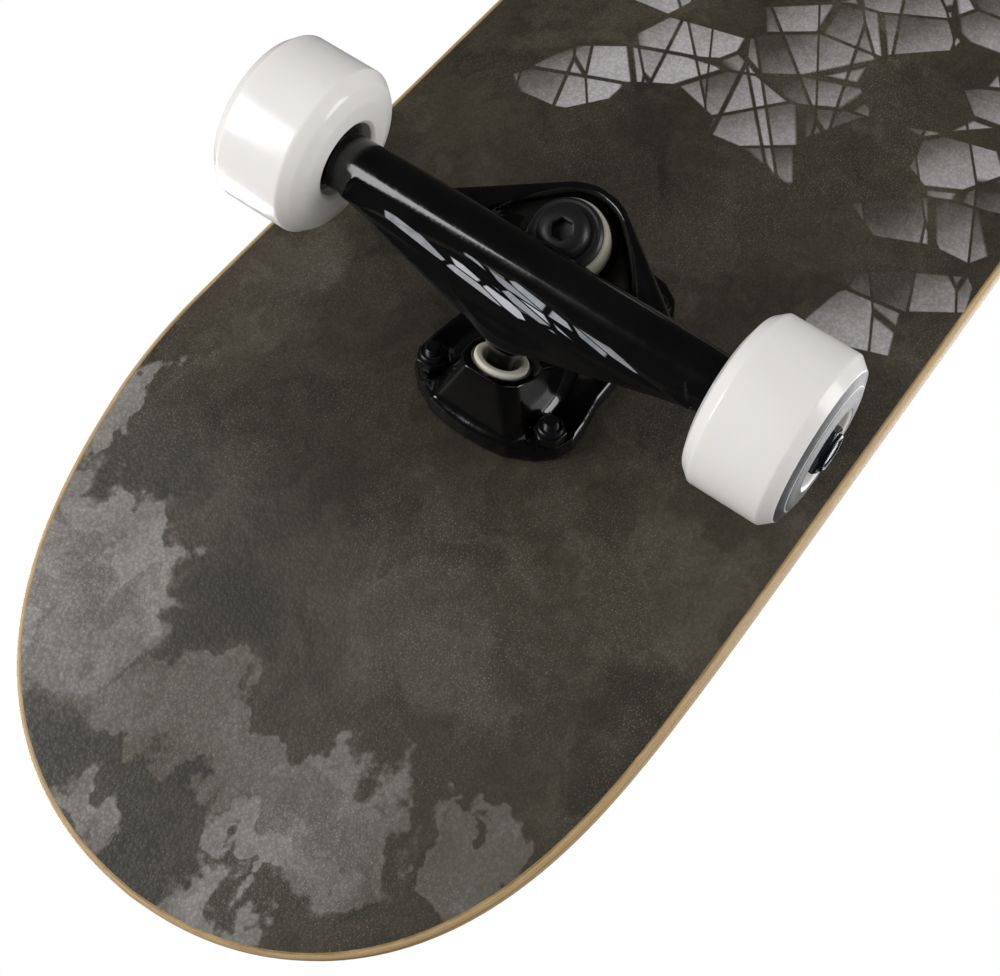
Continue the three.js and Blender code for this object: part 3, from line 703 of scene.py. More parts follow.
def mat_deck_edge():
    """Sawn maple edge: seven plies with thin glue lines, grain running round the deck."""
    N = Nodes("deck_edge")
    h = N.math("MULTIPLY", N.attr("ply_h"), 7.0)
    run = N.attr("run")
    wob = N.noise(1.0, 3, 0.6, co=N.n("CombineXYZ", ins={0: N.math("MULTIPLY", run, 55.0), 1: h, 2: 0.0}).outputs[0])
    hh = N.math("ADD", h, N.math("MULTIPLY", N.math("SUBTRACT", wob, 0.5), 0.22))
    ply = N.math("FLOOR", hh)
    fr = N.math("SUBTRACT", hh, ply)
    tone = N.n("TexWhiteNoise", noise_dimensions="1D", ins={"W": ply}).outputs["Value"]
    streak = N.noise(1.0, 5, 0.65, 0.3, co=N.n("CombineXYZ", ins={0: N.math("MULTIPLY", run, 130.0), 1: N.math("MULTIPLY", hh, 9.0), 2: tone}).outputs[0])
    fibre = N.noise(1.0, 3, 0.7, co=N.n("CombineXYZ", ins={0: N.math("MULTIPLY", run, 900.0), 1: N.math("MULTIPLY", hh, 22.0), 2: tone}).outputs[0])
    col = N.ramp(streak, [(0.25, srgb(170, 138, 92)[:3]), (0.5, srgb(204, 174, 124)[:3]), (0.75, srgb(220, 197, 150)[:3])])
    col = N.mix(N.map(tone, 0, 1, 0.0, 0.30), col, srgb(160, 130, 92))
    col = N.mix(N.map(fibre, 0.45, 0.75, 0.0, 0.35), col, srgb(120, 84, 48))
    cross = N.math("MULTIPLY", N.math("COMPARE", ply, 1.0, 0.5), 0.9)
    cross5 = N.math("MULTIPLY", N.math("COMPARE", ply, 5.0, 0.5), 0.8)
    col = N.mix(N.math("MULTIPLY", N.math("MAXIMUM", cross, cross5), 0.55), col, srgb(140, 98, 58))
    glue = N.math("MAXIMUM", N.map(fr, 0.0, 0.10, 1.0, 0.0), N.map(fr, 0.92, 1.0, 0.0, 1.0))
    col = N.mix(N.math("MULTIPLY", glue, 0.62), col, srgb(92, 62, 38))
    hgt = N.math("ADD", N.math("MULTIPLY", fibre, 0.5), N.math("MULTIPLY", glue, -0.5))
    return N.done(Base_Color=col, Roughness=N.map(streak, 0.3, 0.7, 0.45, 0.62), Normal=N.bump(hgt, 0.18, 0.0003))


def mat_deck_top():
    """Maple veneer on the top, under the grip tape."""
    N = Nodes("deck_top")
    co = N.scaled((1.0, 14.0, 14.0))
    g = N.noise(26, 6, 0.6, 1.2, co=co)
    f = N.noise(240, 3, 0.7, co=co)
    col = N.ramp(g, [(0.3, srgb(176, 138, 90)[:3]), (0.5, srgb(206, 172, 122)[:3]), (0.7, srgb(224, 196, 150)[:3])])
    col = N.mix(N.map(f, 0.5, 0.7, 0.0, 0.3), col, srgb(130, 94, 56))
    return N.done(Base_Color=col, Roughness=N.map(f, 0.3, 0.7, 0.45, 0.6), Normal=N.bump(f, 0.12, 0.0003))


def mat_grip():
    """Silicon-carbide grit on black film."""
    N = Nodes("grip_tape")
    grit = N.voronoi(1500, "F1")
    gritc = N.voronoi(1500, "F1", out="Color")
    fine = N.noise(2600, 3, 0.7)
    tone = N.noise(9, 5, 0.6, 0.4)
    glint = N.map(N.n("SeparateColor", ins={0: gritc}).outputs[0], 0.93, 0.99)
    col = N.mix(N.map(tone, 0.3, 0.7), srgb(23, 23, 24), srgb(33, 32, 32))
    col = N.mix(N.math("MULTIPLY", glint, 0.55), col, srgb(150, 152, 158))
    col = N.mix(N.map(grit, 0.25, 0.6, 0.0, 0.5), col, srgb(10, 10, 10))
    h = N.math("SUBTRACT", N.math("MULTIPLY", fine, 0.4), grit)
    r = N.map(glint, 0, 1, 0.9, 0.4)
    return N.done(Base_Color=col, Roughness=r, Normal=N.bump(h, 0.75, 0.0006))


DECKP, DECKE, DECKT, GRIP = mat_deck_print(), mat_deck_edge(), mat_deck_top(), mat_grip()


PAINT = mat_paint(base=(0.0016, 0.0016, 0.0017, 1))

# ------------------------------------------------------------------------------------------
# Deck
# ------------------------------------------------------------------------------------------
HW, FLAT, RISE, POW = 95.25, 30.0, 3.6, 1.55
US, UK, RB = 11.6, 46.7, 130.0
TAIL = (194.5, 0.323)
NOSE = (198.5, 0.34)


def concave(y):
    return RISE * (np.maximum(0, np.abs(y) - FLAT) / (HW - FLAT)) ** POW


def deck_xyz(U, y, h):
    """Unrolled deck position (U along, y across, h above the underside) to the row frame, in mm."""
    U, y, h = np.broadcast_arrays(np.asarray(U, float), np.asarray(y, float), np.asarray(h, float))
    out = np.zeros(U.shape + (3,))
    hh = h + concave(y)
    X = U.copy()
    Z = np.zeros_like(U)
    A = np.zeros_like(U)
    for x0, sg, (L, an) in ((XR, -1, TAIL), (XF, 1, NOSE)):
        s = (U - x0) * sg
        m = s > UK
        b = np.clip((s - UK) / RB, 0, an)
        run = np.maximum(0, s - UK - RB * an)
        X = np.where(m, x0 + sg * (UK + RB * np.sin(b) + run * math.cos(an)), X)
        Z = np.where(m, RB * (1 - np.cos(b)) + run * math.sin(an), Z)
        A = np.where(m, sg * b, A)
    out[..., 0] = X - np.sin(A) * hh
    out[..., 1] = y
    out[..., 2] = UNDERSIDE + Z + np.cos(A) * hh
    return out


def outline(count):
    """Half outline from the tail tip to the nose tip: (U, y >= 0), evenly spaced, and its outward normals."""
    ph = np.linspace(0, math.pi / 2, 3000)
    t, w = np.sin(ph) ** (2 / 3.7), HW * np.cos(ph) ** (2 / 2.05)
    tail = np.stack([XR - (US + (TAIL[0] - US) * t), w], 1)[::-1]
    nose = np.stack([XF + (US + (NOSE[0] - US) * t), w], 1)
    line = np.concatenate([tail, nose])
    seg = np.hypot(*np.diff(line, axis=0).T)
    keep = np.concatenate([[True], seg > 1e-7])
    line = line[keep]
    s = np.concatenate([[0], np.cumsum(np.hypot(*np.diff(line, axis=0).T))])
    q = np.linspace(0, s[-1], count)
    p = np.stack([np.interp(q, s, line[:, 0]), np.interp(q, s, line[:, 1])], 1)
    p[0, 1] = p[-1, 1] = 0
    # smooth a little, to take the sampling's corners off
    for _ in range(6):
        p[1:-1] = p[1:-1] * 0.5 + 0.25 * (p[:-2] + p[2:])
    g = np.gradient(p, axis=0)
    g[0], g[-1] = (0, 1), (0, -1)
    n = np.stack([-g[:, 1], g[:, 0]], 1)
    n /= np.linalg.norm(n, axis=1)[:, None]
    return p, n, q


def slab(name, h0, h1, inset, low_r, high_r, count=300, across=44, arc=5, attrs=True):
    """A closed sheet on the deck's form with rounded edges."""
    p, n, q = outline(count)

    def ring(d):
        r = p - n * (d + inset)
        r[0, 1] = r[-1, 1] = 0
        r[:, 1] = np.maximum(r[:, 1], 0)
        return r

    prof = []
    for k in range(arc + 1):
        a = math.pi / 2 * k / arc
        prof.append((low_r * (1 - math.sin(a)), h0 + low_r * (1 - math.cos(a))))
    for k in range(arc + 1):
        a = math.pi / 2 * k / arc
        prof.append((high_r * (1 - math.cos(a)), h1 - high_r * (1 - math.sin(a))))
    verts, ply, run = [], [], []
    eta = np.linspace(-1, 1, across + 1)
    eta = np.sign(eta) * np.abs(eta) ** 0.85

    def grid(r, h):
        base = len(verts)
        ids = np.zeros((count, across + 1), int)
        for i in range(count):
            if i in (0, count - 1):
                ids[i, :] = len(verts)
                verts.append((r[i, 0], 0.0, h))
                run.append(q[i])
                ply.append(h)
            else:
                for j, e in enumerate(eta):
                    ids[i, j] = len(verts)
                    verts.append((r[i, 0], r[i, 1] * e, h))
                    run.append(q[i])
                    ply.append(h)
        return ids

    low = grid(ring(prof[0][0]), prof[0][1])
    high = grid(ring(prof[-1][0]), prof[-1][1])

    def loop(ids):
        left = [ids[i, 0] for i in range(count)]  # y negative side, tail to nose
        right = [ids[i, across] for i in range(count)]
        return right + left[-2:0:-1]

    loops = [loop(low)]
    for d, h in prof[1:-1]:
        r = ring(d)
        row = []
        for i in range(count):
            row.append(len(verts))
            verts.append((r[i, 0], r[i, 1], h))
            run.append(q[i])
            ply.append(h)
        for i in range(count - 2, 0, -1):
            row.append(len(verts))
            verts.append((r[i, 0], -r[i, 1], h))
            run.append(q[i])
            ply.append(h)
        loops.append(row)
    loops.append(loop(high))
    faces, mat = [], []

    def add(f, m):
        g = [f[0]]
        for v in f[1:]:
            if v != g[-1]:
                g.append(v)
        if g[-1] == g[0]:
            g.pop()
        if len(g) >= 3:
            faces.append(g)
            mat.append(m)

    for ids, m in ((low, 0), (high, 2)):
        for i in range(count - 1):
            for j in range(across):
                add((ids[i, j], ids[i, j + 1], ids[i + 1, j + 1], ids[i + 1, j]), m)
    for a, b in zip(loops, loops[1:]):
        for k in range(len(a)):
            k2 = (k + 1) % len(a)
            add((a[k], a[k2], b[k2], b[k]), 1)
    V = np.array(verts)
    W = deck_xyz(V[:, 0], V[:, 1], V[:, 2])
    me = new_mesh(name, W, faces, angle=40)
    me.polygons.foreach_set("material_index", mat)
    if attrs:
        a = me.attributes.new("ply_h", "FLOAT", "POINT")
        a.data.foreach_set("value", (np.array(ply) / TH).astype(np.float32))
        a = me.attributes.new("run", "FLOAT", "POINT")
        a.data.foreach_set("value", (np.array(run) * MM).astype(np.float32))
    return me


deck_me = slab("deck_shell", 0.0, TH, 0.0, 2.0, 2.2, arc=6)
for m in (DECKP, DECKE, DECKT):
    deck_me.materials.append(m)
place("deck_shell", deck_me, None, None, "board", "deck")

grip_me = slab("grip_sheet", TH + 0.2, TH + 1.1, 0.55, 0.12, 0.25, arc=2, attrs=False)
for _ in range(3):
    grip_me.materials.append(GRIP)
grip = place("grip_sheet", grip_me, None, None, "board", "grip_tape")

# Punch the bolt holes through the grip tape.
cut = bmesh.new()
spots = []
for end, (tx, _) in ENDS.items():
    for sx in (1, -1):
        for sy in (1, -1):
            spots.append((tx + sx * BOLT[0], sy * BOLT[1]))
for bx, by in spots:
    r = bmesh.ops.create_cone(cut, cap_ends=True, segments=40, radius1=5.0 * MM, radius2=5.0 * MM, depth=6 * MM)
    bmesh.ops.translate(cut, verts=r["verts"], vec=(bx * MM, by * MM, (UNDERSIDE + TH + 1) * MM))
cut_me = bpy.data.meshes.new("punch")
cut.to_mesh(cut_me)
cut.free()
punch = bpy.data.objects.new("punch", cut_me)
scene.collection.objects.link(punch)
mod = grip.modifiers.new("holes", "BOOLEAN")
mod.operation = "DIFFERENCE"
mod.object = punch
mod.solver = "EXACT"
bpy.context.view_layer.update()
dg = bpy.context.evaluated_depsgraph_get()
holed = bpy.data.meshes.new_from_object(grip.evaluated_get(dg))
grip.modifiers.clear()
if len(holed.polygons) > 1000:
    grip.data = holed
bpy.data.objects.remove(punch)

# ------------------------------------------------------------------------------------------
# Trucks: the two castings
# ------------------------------------------------------------------------------------------
# The front facet of the hanger: a plane that leaves the tube at the ridge line.
RIDGE = np.array([19.6, -56.7])
FN = np.array([0.962, -0.274])  # its normal, in x and z
FT = np.array([0.274, 0.962])  # up along it, towards the deck


def ring_coords(P):
    dx, dz = P[0] - RING[0], P[2] - RING[2]
    return dx * KD[0] + dz * KD[2], dx * KE[0] + dz * KE[2], P[1]


def on_facet(f, y, out=0.0):
    """A point of the facet plane, f up from the ridge."""
    return (RIDGE[0] + FT[0] * f + FN[0] * out, y, RIDGE[1] + FT[1] * f + FN[1] * out)


def hanger_sdf(P):
    X, Y, Z = P
    aY = np.abs(Y)
    rr = np.hypot(X - AXLE_AT[0], Z - AXLE_AT[1])
    R = np.interp(aY.ravel(), [0, 40, 63], [8.55, 8.5, 8.2]).reshape(aY.shape)
    tube = smax(rr - R, aY - 64.0, 1.0)
    facet = (X - RIDGE[0]) * FN[0] + (Z - RIDGE[1]) * FN[1]
    ft = (X - RIDGE[0]) * FT[0] + (Z - RIDGE[1]) * FT[1]
    # the wedge that narrows from the tube to the pivot nose, its front on the facet plane
    wedge = convex(P, both([
        on_facet(0.5, 55), on_facet(8.6, 57.5), on_facet(12.4, 45.0), on_facet(16.2, 33.0), on_facet(19.9, 21.0), on_facet(22.9, 12.0), on_facet(24.6, 5.0),
        (20.5, 6.0, -30.2), (15.0, 10.5, -31.5), (10.5, 13, -34.0), (10.0, 34, -43.5), (8.5, 56, -47.0), (5.6, 58, -53.5), (6.0, 12, -52.0), (12.8, 57, -57.6),
    ]), 1.0)
    body = smin(tube, wedge, 1.2)
    # flat in front, up to a slanted shoulder near each wheel
    body = smax(body, -smax(-facet, aY - (53.4 + 0.42 * np.clip(ft, -2, 12)), 0.4), 0.35)
    # a shallow V-shaped panel sunk in the facet, with a crisp upper edge
    crease = 1.4 + 0.128 * np.sqrt(Y * Y + 9.0)
    pan = smax(crease - ft, aY - 56.5, 0.5)
    body = smax(body, -smax(pan, -(facet + 0.42), 0.3), 0.3)
    # pivot nose
    px, pz = X - PIVOT[0], Z - PIVOT[2]
    hp = px * PU[0] + pz * PU[2]
    rp = np.hypot(px * PT[0] + pz * PT[2], Y)
    prof = np.interp(hp.ravel(), [-22, -18, -15.5, -12.5, -10, -8.2, -6.5, -4, 0], [13.0, 10.6, 9.0, 7.2, 5.6, 4.7, 4.25, 4.1, 4.1]).reshape(hp.shape)
    cone = smax(smax((rp - prof) * 0.82, hp - 1.0, 1.0), -19.5 - hp, 3.0)
    cone = smax(cone, facet + 0.2, 2.0)
    ball = np.hypot(rp, hp) - 4.55
    nose = smin(cone, ball, 1.0)
    # yoke
    s, p, v = ring_coords(P)
    av = np.abs(v)
    q = np.hypot(p, av)
    Ro = np.interp(s.ravel(), [-5, 4, 7.5, 11], [15.6, 17.7, 18.0, 17.7]).reshape(s.shape)
    ca, sa = math.cos(rad(35.5)), math.sin(rad(35.5))
    phi = np.arctan2(av, p)
    out2 = np.where(phi < rad(35.5), q - Ro, p * ca + av * sa - Ro)
    lift = 0.17 * (np.sqrt(np.maximum(0, av - 5) ** 2 + 9) - 3)
    stop = s - (8.7 + lift + np.maximum(0, -8 - p) * 0.5)
    sbot = (-4.6 + np.maximum(0, av - 14) * 0.26) - s
    yoke = smax(smax(smax(out2, stop, 2.2), sbot, 2.2), -22 - p, 1.0)
    body = smin(body, yoke, 4.5)
    body = smin(body, nose, 4.0)
    # the bowl inside the rim, open towards the tube
    cb, sb = math.cos(rad(55)), math.sin(rad(55))
    c4, s4 = math.cos(rad(38)), math.sin(rad(38))
    wall = 14.2 + (s - 4.4) * 0.20
    bowl2 = np.where(phi < rad(38), q - wall, p * c4 + av * s4 - wall)
    bowl2 = smax(bowl2, p * cb + av * sb - (15.4 + (s - 4.4) * 0.28), 3.0)
    bowl2 = smax(bowl2, -p - 10.5, 4.0)
    floor = 4.4 + np.maximum(0, q - 13.4) * 0.45
    bowl = smax(bowl2, floor - s, 2.4)
    bowl = smax(bowl, s - 19.5, 0.5)
    body = smax(body, -bowl, 1.5)
    over = smax(np.hypot(p, v) - (15.0 - (s - 9.4) * 0.36), 9.0 - s, 0.5)
    over = smax(over, s - 19.5, 0.5)
    body = smax(body, -over, 1.0)
    seat = smax(np.hypot(p, v) - 13.2, np.abs(s + 7.0) - 4.4, 0.5)
    body = smax(body, -seat, 0.6)
    step = smax(np.hypot(p, v) - 12.9, np.abs(s - 7.0) - 3.2, 0.4)
    body = smax(body, -step, 0.4)
    body = smax(body, -smax(np.hypot(p, v) - 6.7, np.abs(s) - 14, 0.5), 0.5)
    body = smax(body, -(rr - 4.15), 0.2)
    return body


BASE_OUT = [(39.5, 0), (39, 7), (37.4, 14), (34, 20.5), (29.5, 25.2), (24, 27.2), (18, 26.8), (8, 25.2), (-8, 25.2), (-18, 26.8), (-24, 27.2), (-30, 26.6), (-35.5, 23.5), (-39, 18), (-40, 11), (-40, 0)]


def ring_pts(r, s, n):
    out = []
    for i in range(n):
        a = 2 * math.pi * i / n
        c = RING + KD * s + KE * r * math.cos(a)
        out.append((c[0], r * math.sin(a), c[2]))
    return out


def base_sdf(P):
    X, Y, Z = P
    poly = BASE_OUT + [(x, -y) for x, y in BASE_OUT[-2:0:-1]]
    d2 = polygon_sdf(X[:, :, 0], Y[:, :, 0], poly)
    d2 = np.repeat(d2[:, :, None], X.shape[2], 2)
    zb = Z + 6.1
    plate = smax(smax(d2 + np.maximum(0, -2.2 - Z) * 0.16, -6.1 - Z, 1.3), Z + 0.3, 0.5)
    # the pivot housing: a rounded hull of points round the cup's mouth and out over the plate
    face = []
    for t, y in ((10.4, 5.6), (6.4, 9.6), (-1, 10.9), (-7.5, 9.4), (-10.8, 4.8)):
        c = PIVOT + PU * -5.6 + PT * t
        face.append((c[0] + (0.5 if t > 10 else 0), y, c[2]))
    housing = convex(P, both(face + [(32.6, 6.8, -20.8), (37.0, 13.2, -5.4), (36.6, 12.5, -2), (30, 16.5, -5.4), (16, 16.5, -5.4), (2, 12, -5.4), (2, 12, -2), (20, 11.6, -16.8)]), 0.8)
    s, p, v = ring_coords(P)
    q = np.hypot(p, v)
    boss = convex(P, ring_pts(13.3, -20.4, 20) + both([(-37.5, 8, -5.4), (-36.5, 13.5, -5), (-22, 16.5, -5.4), (-6, 15.5, -5.4), (-3, 10, -5.4), (-3, 10, -2)]), 0.9)
    rib = convex(P, both([(-9, 4.5, -11), (12, 5.5, -15), (12, 6.5, -4), (-10, 6.5, -4)]), 1.0)
    body = smin(plate, smin(smin(housing, boss, 3.0), rib, 3.0), 3.2)
    for sx in (1, -1):
        for sy in (1, -1):
            r = np.hypot(X - sx * BOLT[0], Y - sy * BOLT[1])
            # a round machined seat for each nut, and its hole
            body = smax(body, -smax(r - 6.0, Z + 5.75, 0.5), 0.8)
            body = smax(body, -(r - 2.75), 0.4)
    px, pz = X - PIVOT[0], Z - PIVOT[2]
    hp = px * PU[0] + pz * PU[2]
    rp = np.hypot(px * PT[0] + pz * PT[2], Y)
    cup = smax(rp - (8.25 - np.maximum(0, hp + 5) * 0.09), hp - 6.3, 0.3)
    body = smax(body, -cup, 0.7)
    pin = smax(q - 5.2, -34.6 - s, 0.3)
    body = smax(body, -pin, 0.5)
    return body


H1 = 0.5
hanger_me = cast("hanger_cast", hanger_sdf, (-28, -65, -64), (31, 65, -10), H1)
base_me = cast("baseplate_cast", base_sdf, (-41, -28, -26), (40.5, 28, 0), H1)
hanger_me.materials.append(mat_paint("hanger_paint", decal=True))
base_me.materials.append(PAINT)

# ---- small turned parts, in the truck's frame -----------------------------------------------
HEXN = 96


def hex_radius(af, theta, sharp=1.0):
    a = (theta + math.pi / 6) % (math.pi / 3) - math.pi / 6
    return af / 2 / math.cos(a)


def hex_body(name, af, h0, h1, bore, axis, at, chamfer=0.55, collar=None, seg=HEXN, fl=0.25):
    """A hexagon nut body: coned corners at both ends, a bore, and an optional round collar on top."""
    rc = af / 2 / math.cos(math.pi / 6)

    def radial(t, h, r):
        if r >= 900:  # hexagon rows
            cut0 = rc - chamfer * 1.9 + (h - h0) * 1.9
            cut1 = rc - chamfer * 1.9 + (h1 - h) * 1.9
            x = hex_radius(af, t)
            k = 0.18
            return -math.log(math.exp(-x / k) + math.exp(-cut0 / k) + math.exp(-cut1 / k)) * k
        return r

    hs = [h0 + 0.0, h0 + 0.12, h0 + 0.3, h0 + 0.55, h0 + 0.8, h0 + 1.1, (h0 + h1) / 2, h1 - 1.1, h1 - 0.8, h1 - 0.55, h1 - 0.3, h1 - 0.12, h1 - 0.0]
    prof = [(bore + 0.35, h0), (af / 2 * 0.93, h0 - 0.02)]
    prof += [(999, h) for h in hs]
    if collar:
        rcol, top = collar
        prof += fillet([(af / 2 * 0.93, h1 + 0.02), (rcol, h1 + 0.02), (rcol - 0.15, top), (bore + 0.45, top), (bore, top - 0.5)], 0.5, 4)
    else:
        prof += [(af / 2 * 0.93, h1 + 0.02), (bore + 0.35, h1), (bore, h1 - 0.35)]
    prof += [(bore, h0 + 0.35)]
    return lathe(name, prof, seg, axis, at, closed=True, radial=radial, angle=28)


def threaded(name, r, pitch, h0, h1, axis, at, seg=48, depth=None, head=None, per=8, tip=0.8):
    """A rod with a helical thread from h0 to h1 (h1 is its free end), closed by what head gives before h0."""
    depth = depth or pitch * 0.54
    n = max(2, int((h1 - h0) / pitch * per))
    prof = list(head) if head else [(0, h0)]
    for i in range(n + 1):
        prof.append((r, h0 + (h1 - h0) * i / n))
    prof += [(r - depth - 0.25, h1 + 0.02), (0, h1 + 0.02)]
    start = len(head) if head else 1

    def radial(t, h, rr):
        if abs(rr - r) > 1e-9 or h < h0 - 1e-9:
            return rr
        ph = (h / pitch - t / (2 * math.pi)) % 1.0
        tri = abs(ph * 2 - 1)
        tri = min(1.0, max(0.0, tri * 1.35 - 0.17))
        fade = min(1.0, max(0.0, (h - h0) / pitch))
        endc = max(0.0, (h - (h1 - tip)) / tip)
        return r - depth * tri * fade - endc * depth * 0.9 * (1 - tri * 0.5)

    return lathe(name, prof, seg, axis, at, radial=radial, angle=50)


# Kingpin: button head with a hexagon socket.
def kingpin_mesh():
    prof = [(0, -34.2), (4.2, -34.2), (4.75, -33.5), (4.75, 17.25)]
    dome = []
    for k in range(13):
        a = k / 12
        # a low dome from the head's rim to the socket's edge
        ang = a * 1.12
        dome.append((3.62 + (7.5 - 3.62) * math.cos(a * math.pi / 2) ** 0.95, 18.35 + 3.25 * math.sin(a * math.pi / 2)))
    prof += [(7.1, 17.25), (7.4, 17.45), (7.5, 17.75)] + dome
    hexr = [(3.52, 21.6), (3.42, 21.45), (3.32, 21.2), (3.3, 18.6), (3.0, 18.3), (0, 17.9)]
    prof += hexr

    def radial(t, h, r):
        if 17.95 < h < 21.5 and r < 3.45 and r > 2.9:
            return min(r, hex_radius(5.55, t)) if r < 3.31 else min(r, hex_radius(5.55, t) + (r - 3.3) * 1.5)
        return r

    return lathe("kingpin", prof, 96, KD, RING, radial=radial, angle=35)


TOPW = fillet([(5.2, 15.45), (8.6, 15.45), (10.0, 14.75), (10.75, 14.9), (10.65, 15.9), (9.9, 16.75), (9.0, 16.55), (8.2, 17.05), (5.2, 17.05)], 0.3, 4, closed=True)
BOTW = fillet([(5.3, -20.05), (11.4, -20.05), (12.5, -18.3), (12.0, -17.9), (11.2, -18.55), (5.3, -18.55)], 0.28, 4, closed=True)
TOPB = fillet([(6.1, 4.55), (11.0, 4.55), (11.5, 5.5), (11.75, 9.4), (11.65, 12.6), (11.2, 13.9), (10.3, 14.4), (8.6, 15.3), (5.2, 15.3)], closed=True, n=5, radii=[0.2, 0.6, 1.2, 4.0, 1.8, 0.9, 0.4, 0.5, 0.2])
BOTB = fillet([(5.4, -18.45), (10.4, -18.45), (11.7, -17.2), (12.5, -13.0), (12.6, -8.6), (12.4, -5.4), (11.7, -3.0), (6.6, -2.75), (6.2, -3.2)], closed=True, n=5, radii=[0.3, 0.8, 2.0, 5.0, 5.0, 2.0, 1.0, 0.3, 0.3])
CUP = fillet([(5.75, -6.15), (6.3, -6.4), (7.6, -6.4), (8.05, -5.9), (8.05, -4.4), (7.0, 6.0), (0, 6.0)], closed=False, n=4, radii=[0, 0.4, 0.5, 0.3, 0.3, 0.6, 0])
CUP = [(0, 5.1), (2.7, 4.5), (4.4, 2.9), (5.15, 0.3), (5.1, -3), (5.55, -5.6)] + [tuple(p) for p in CUP]

kingpin_me = kingpin_mesh()
topw_me = lathe("top_washer", TOPW, 80, KD, RING, closed=True)
botw_me = lathe("bottom_washer", BOTW, 80, KD, RING, closed=True)
cup_me = lathe("pivot_cup", CUP, 72, PU, PIVOT)
AX = np.array([AXLE_AT[0], 0, AXLE_AT[1]])


def axle_mesh():
    r, half, pitch = 3.95, 93.9, 1.06
    z0 = 88.6
    n = int((half - z0) / pitch * 9)
    hs = [z0 + (half - z0) * i / n for i in range(n + 1)]
    prof = [(0, -half), (2.9, -half)] + [(r, -h) for h in reversed(hs)] + [(r, -60), (r, 60)] + [(r, h) for h in hs] + [(2.9, half), (0, half)]

    def radial(t, h, rr):
        a = abs(h)
        if rr < r - 1e-6 or a < z0:
            return rr
        ph = (h / pitch - t / (2 * math.pi)) % 1.0
        tri = min(1.0, max(0.0, abs(ph * 2 - 1) * 1.35 - 0.17))
        fade = min(1.0, (a - z0) / pitch)
        end = max(0.0, (a - (half - 0.8)) / 0.8)
        return r - 0.55 * tri * fade - end * 0.45

    return lathe("axle", prof, 48, YAX, AX, radial=radial, angle=50)


axle_me = axle_mesh()
sw_prof = fillet([(4.15, -0.45), (5.95, -0.45), (5.95, 0.45), (4.15, 0.45)], 0.15, 3, closed=True)
for me, m in ((kingpin_me, SATIN), (topw_me, SATIN), (botw_me, SATIN), (cup_me, CREAM), (axle_me, ZINC)):
    me.materials.append(m)

sw_me = lathe("speed_washer", sw_prof, 48, YAX, (0, 0, 0), closed=True)
sw_me.materials.append(ZINC)


def merge(name, parts):
    """Several meshes with their materials as one."""
    bm = bmesh.new()
    mats, base = [], 0
    for me in parts:
        before = len(bm.faces)
        bm.from_mesh(me)
        bm.faces.ensure_lookup_table()
        offset = {}
        for i, m in enumerate(me.materials):
            if m not in mats:
                mats.append(m)
            offset[i] = mats.index(m)
        for f in bm.faces[before:]:
            f.material_index = offset.get(f.material_index, 0)
    out = bpy.data.meshes.new(name)
    bm.to_mesh(out)
    bm.free()
    for m in mats:
        out.materials.append(m)
    return out


nut_body = hex_body("axle_nut_body", 12.7, 0.0, 3.1, 4.15, YAX, (0, 0, 0))
nut_body.materials.append(NUTM)
nut_collar = lathe("axle_nut_collar", fillet([(4.3, 2.9), (5.7, 2.9), (5.6, 3.8), (4.9, 4.1), (4.3, 4.1)], 0.3, 4, closed=True), 64, YAX, (0, 0, 0), closed=True)
nut_collar.materials.append(NUTM)
nut_ring = lathe("axle_nut_ring", fillet([(4.02, 3.1), (4.6, 3.1), (4.6, 3.95), (4.02, 3.95)], 0.12, 3, closed=True), 64, YAX, (0, 0, 0), closed=True)
nut_ring.materials.append(NYLON)
axle_nut_me = merge("axle_nut", [nut_body, nut_collar, nut_ring])

# Mounting nut and bolt (truck's vertical, z = 0 on the underside)
NZ1 = -0.3 - 5.8 - 0.1
NZ1 += 0.3
mn_body = hex_body("mount_nut_body", 8.6, NZ1 - 3.6, NZ1, 2.5, (0, 0, 1), (0, 0, 0), chamfer=0.4)
mn_col = lathe("mount_nut_collar", fillet([(2.75, NZ1 - 3.5), (3.95, NZ1 - 3.5), (3.8, NZ1 - 5.0), (3.3, NZ1 - 5.4), (2.75, NZ1 - 5.4)], 0.35, 4, closed=True), 56, (0, 0, 1), (0, 0, 0), closed=True)
mn_ring = lathe("mount_nut_insert", fillet([(2.4, NZ1 - 3.7), (3.0, NZ1 - 3.7), (3.0, NZ1 - 5.15), (2.4, NZ1 - 5.15)], 0.12, 3, closed=True), 48, (0, 0, 1), (0, 0, 0), closed=True)
for me, m in ((mn_body, HARD), (mn_col, HARD), (mn_ring, NYLON)):
    me.materials.append(m)
mount_nut_me = merge("mount_nut", [mn_body, mn_col, mn_ring])
TOPZ = TH + 1.1 - 0.05


def bolt_mesh():
    # from the hex socket in the flat head down to the threaded tip; h runs downwards
    soc = [(0, -TOPZ + 2.2), (1.7, -TOPZ + 2.0), (1.75, -TOPZ + 1.9), (1.8, -TOPZ + 0.15), (1.95, -TOPZ)]
    head = soc + [(4.35, -TOPZ), (4.6, -TOPZ + 0.12), (4.6, -TOPZ + 0.5), (2.5, -TOPZ + 2.9), (2.35, -TOPZ + 3.2), (2.35, 2.0)]

    me = threaded("mount_bolt", 2.35, 0.79, 4.0, 13.8, (0, 0, -1), (0, 0, 0), seg=40, head=head, tip=0.9)
    return me


bolt_me = bolt_mesh()
bolt_me.materials.append(HARD)

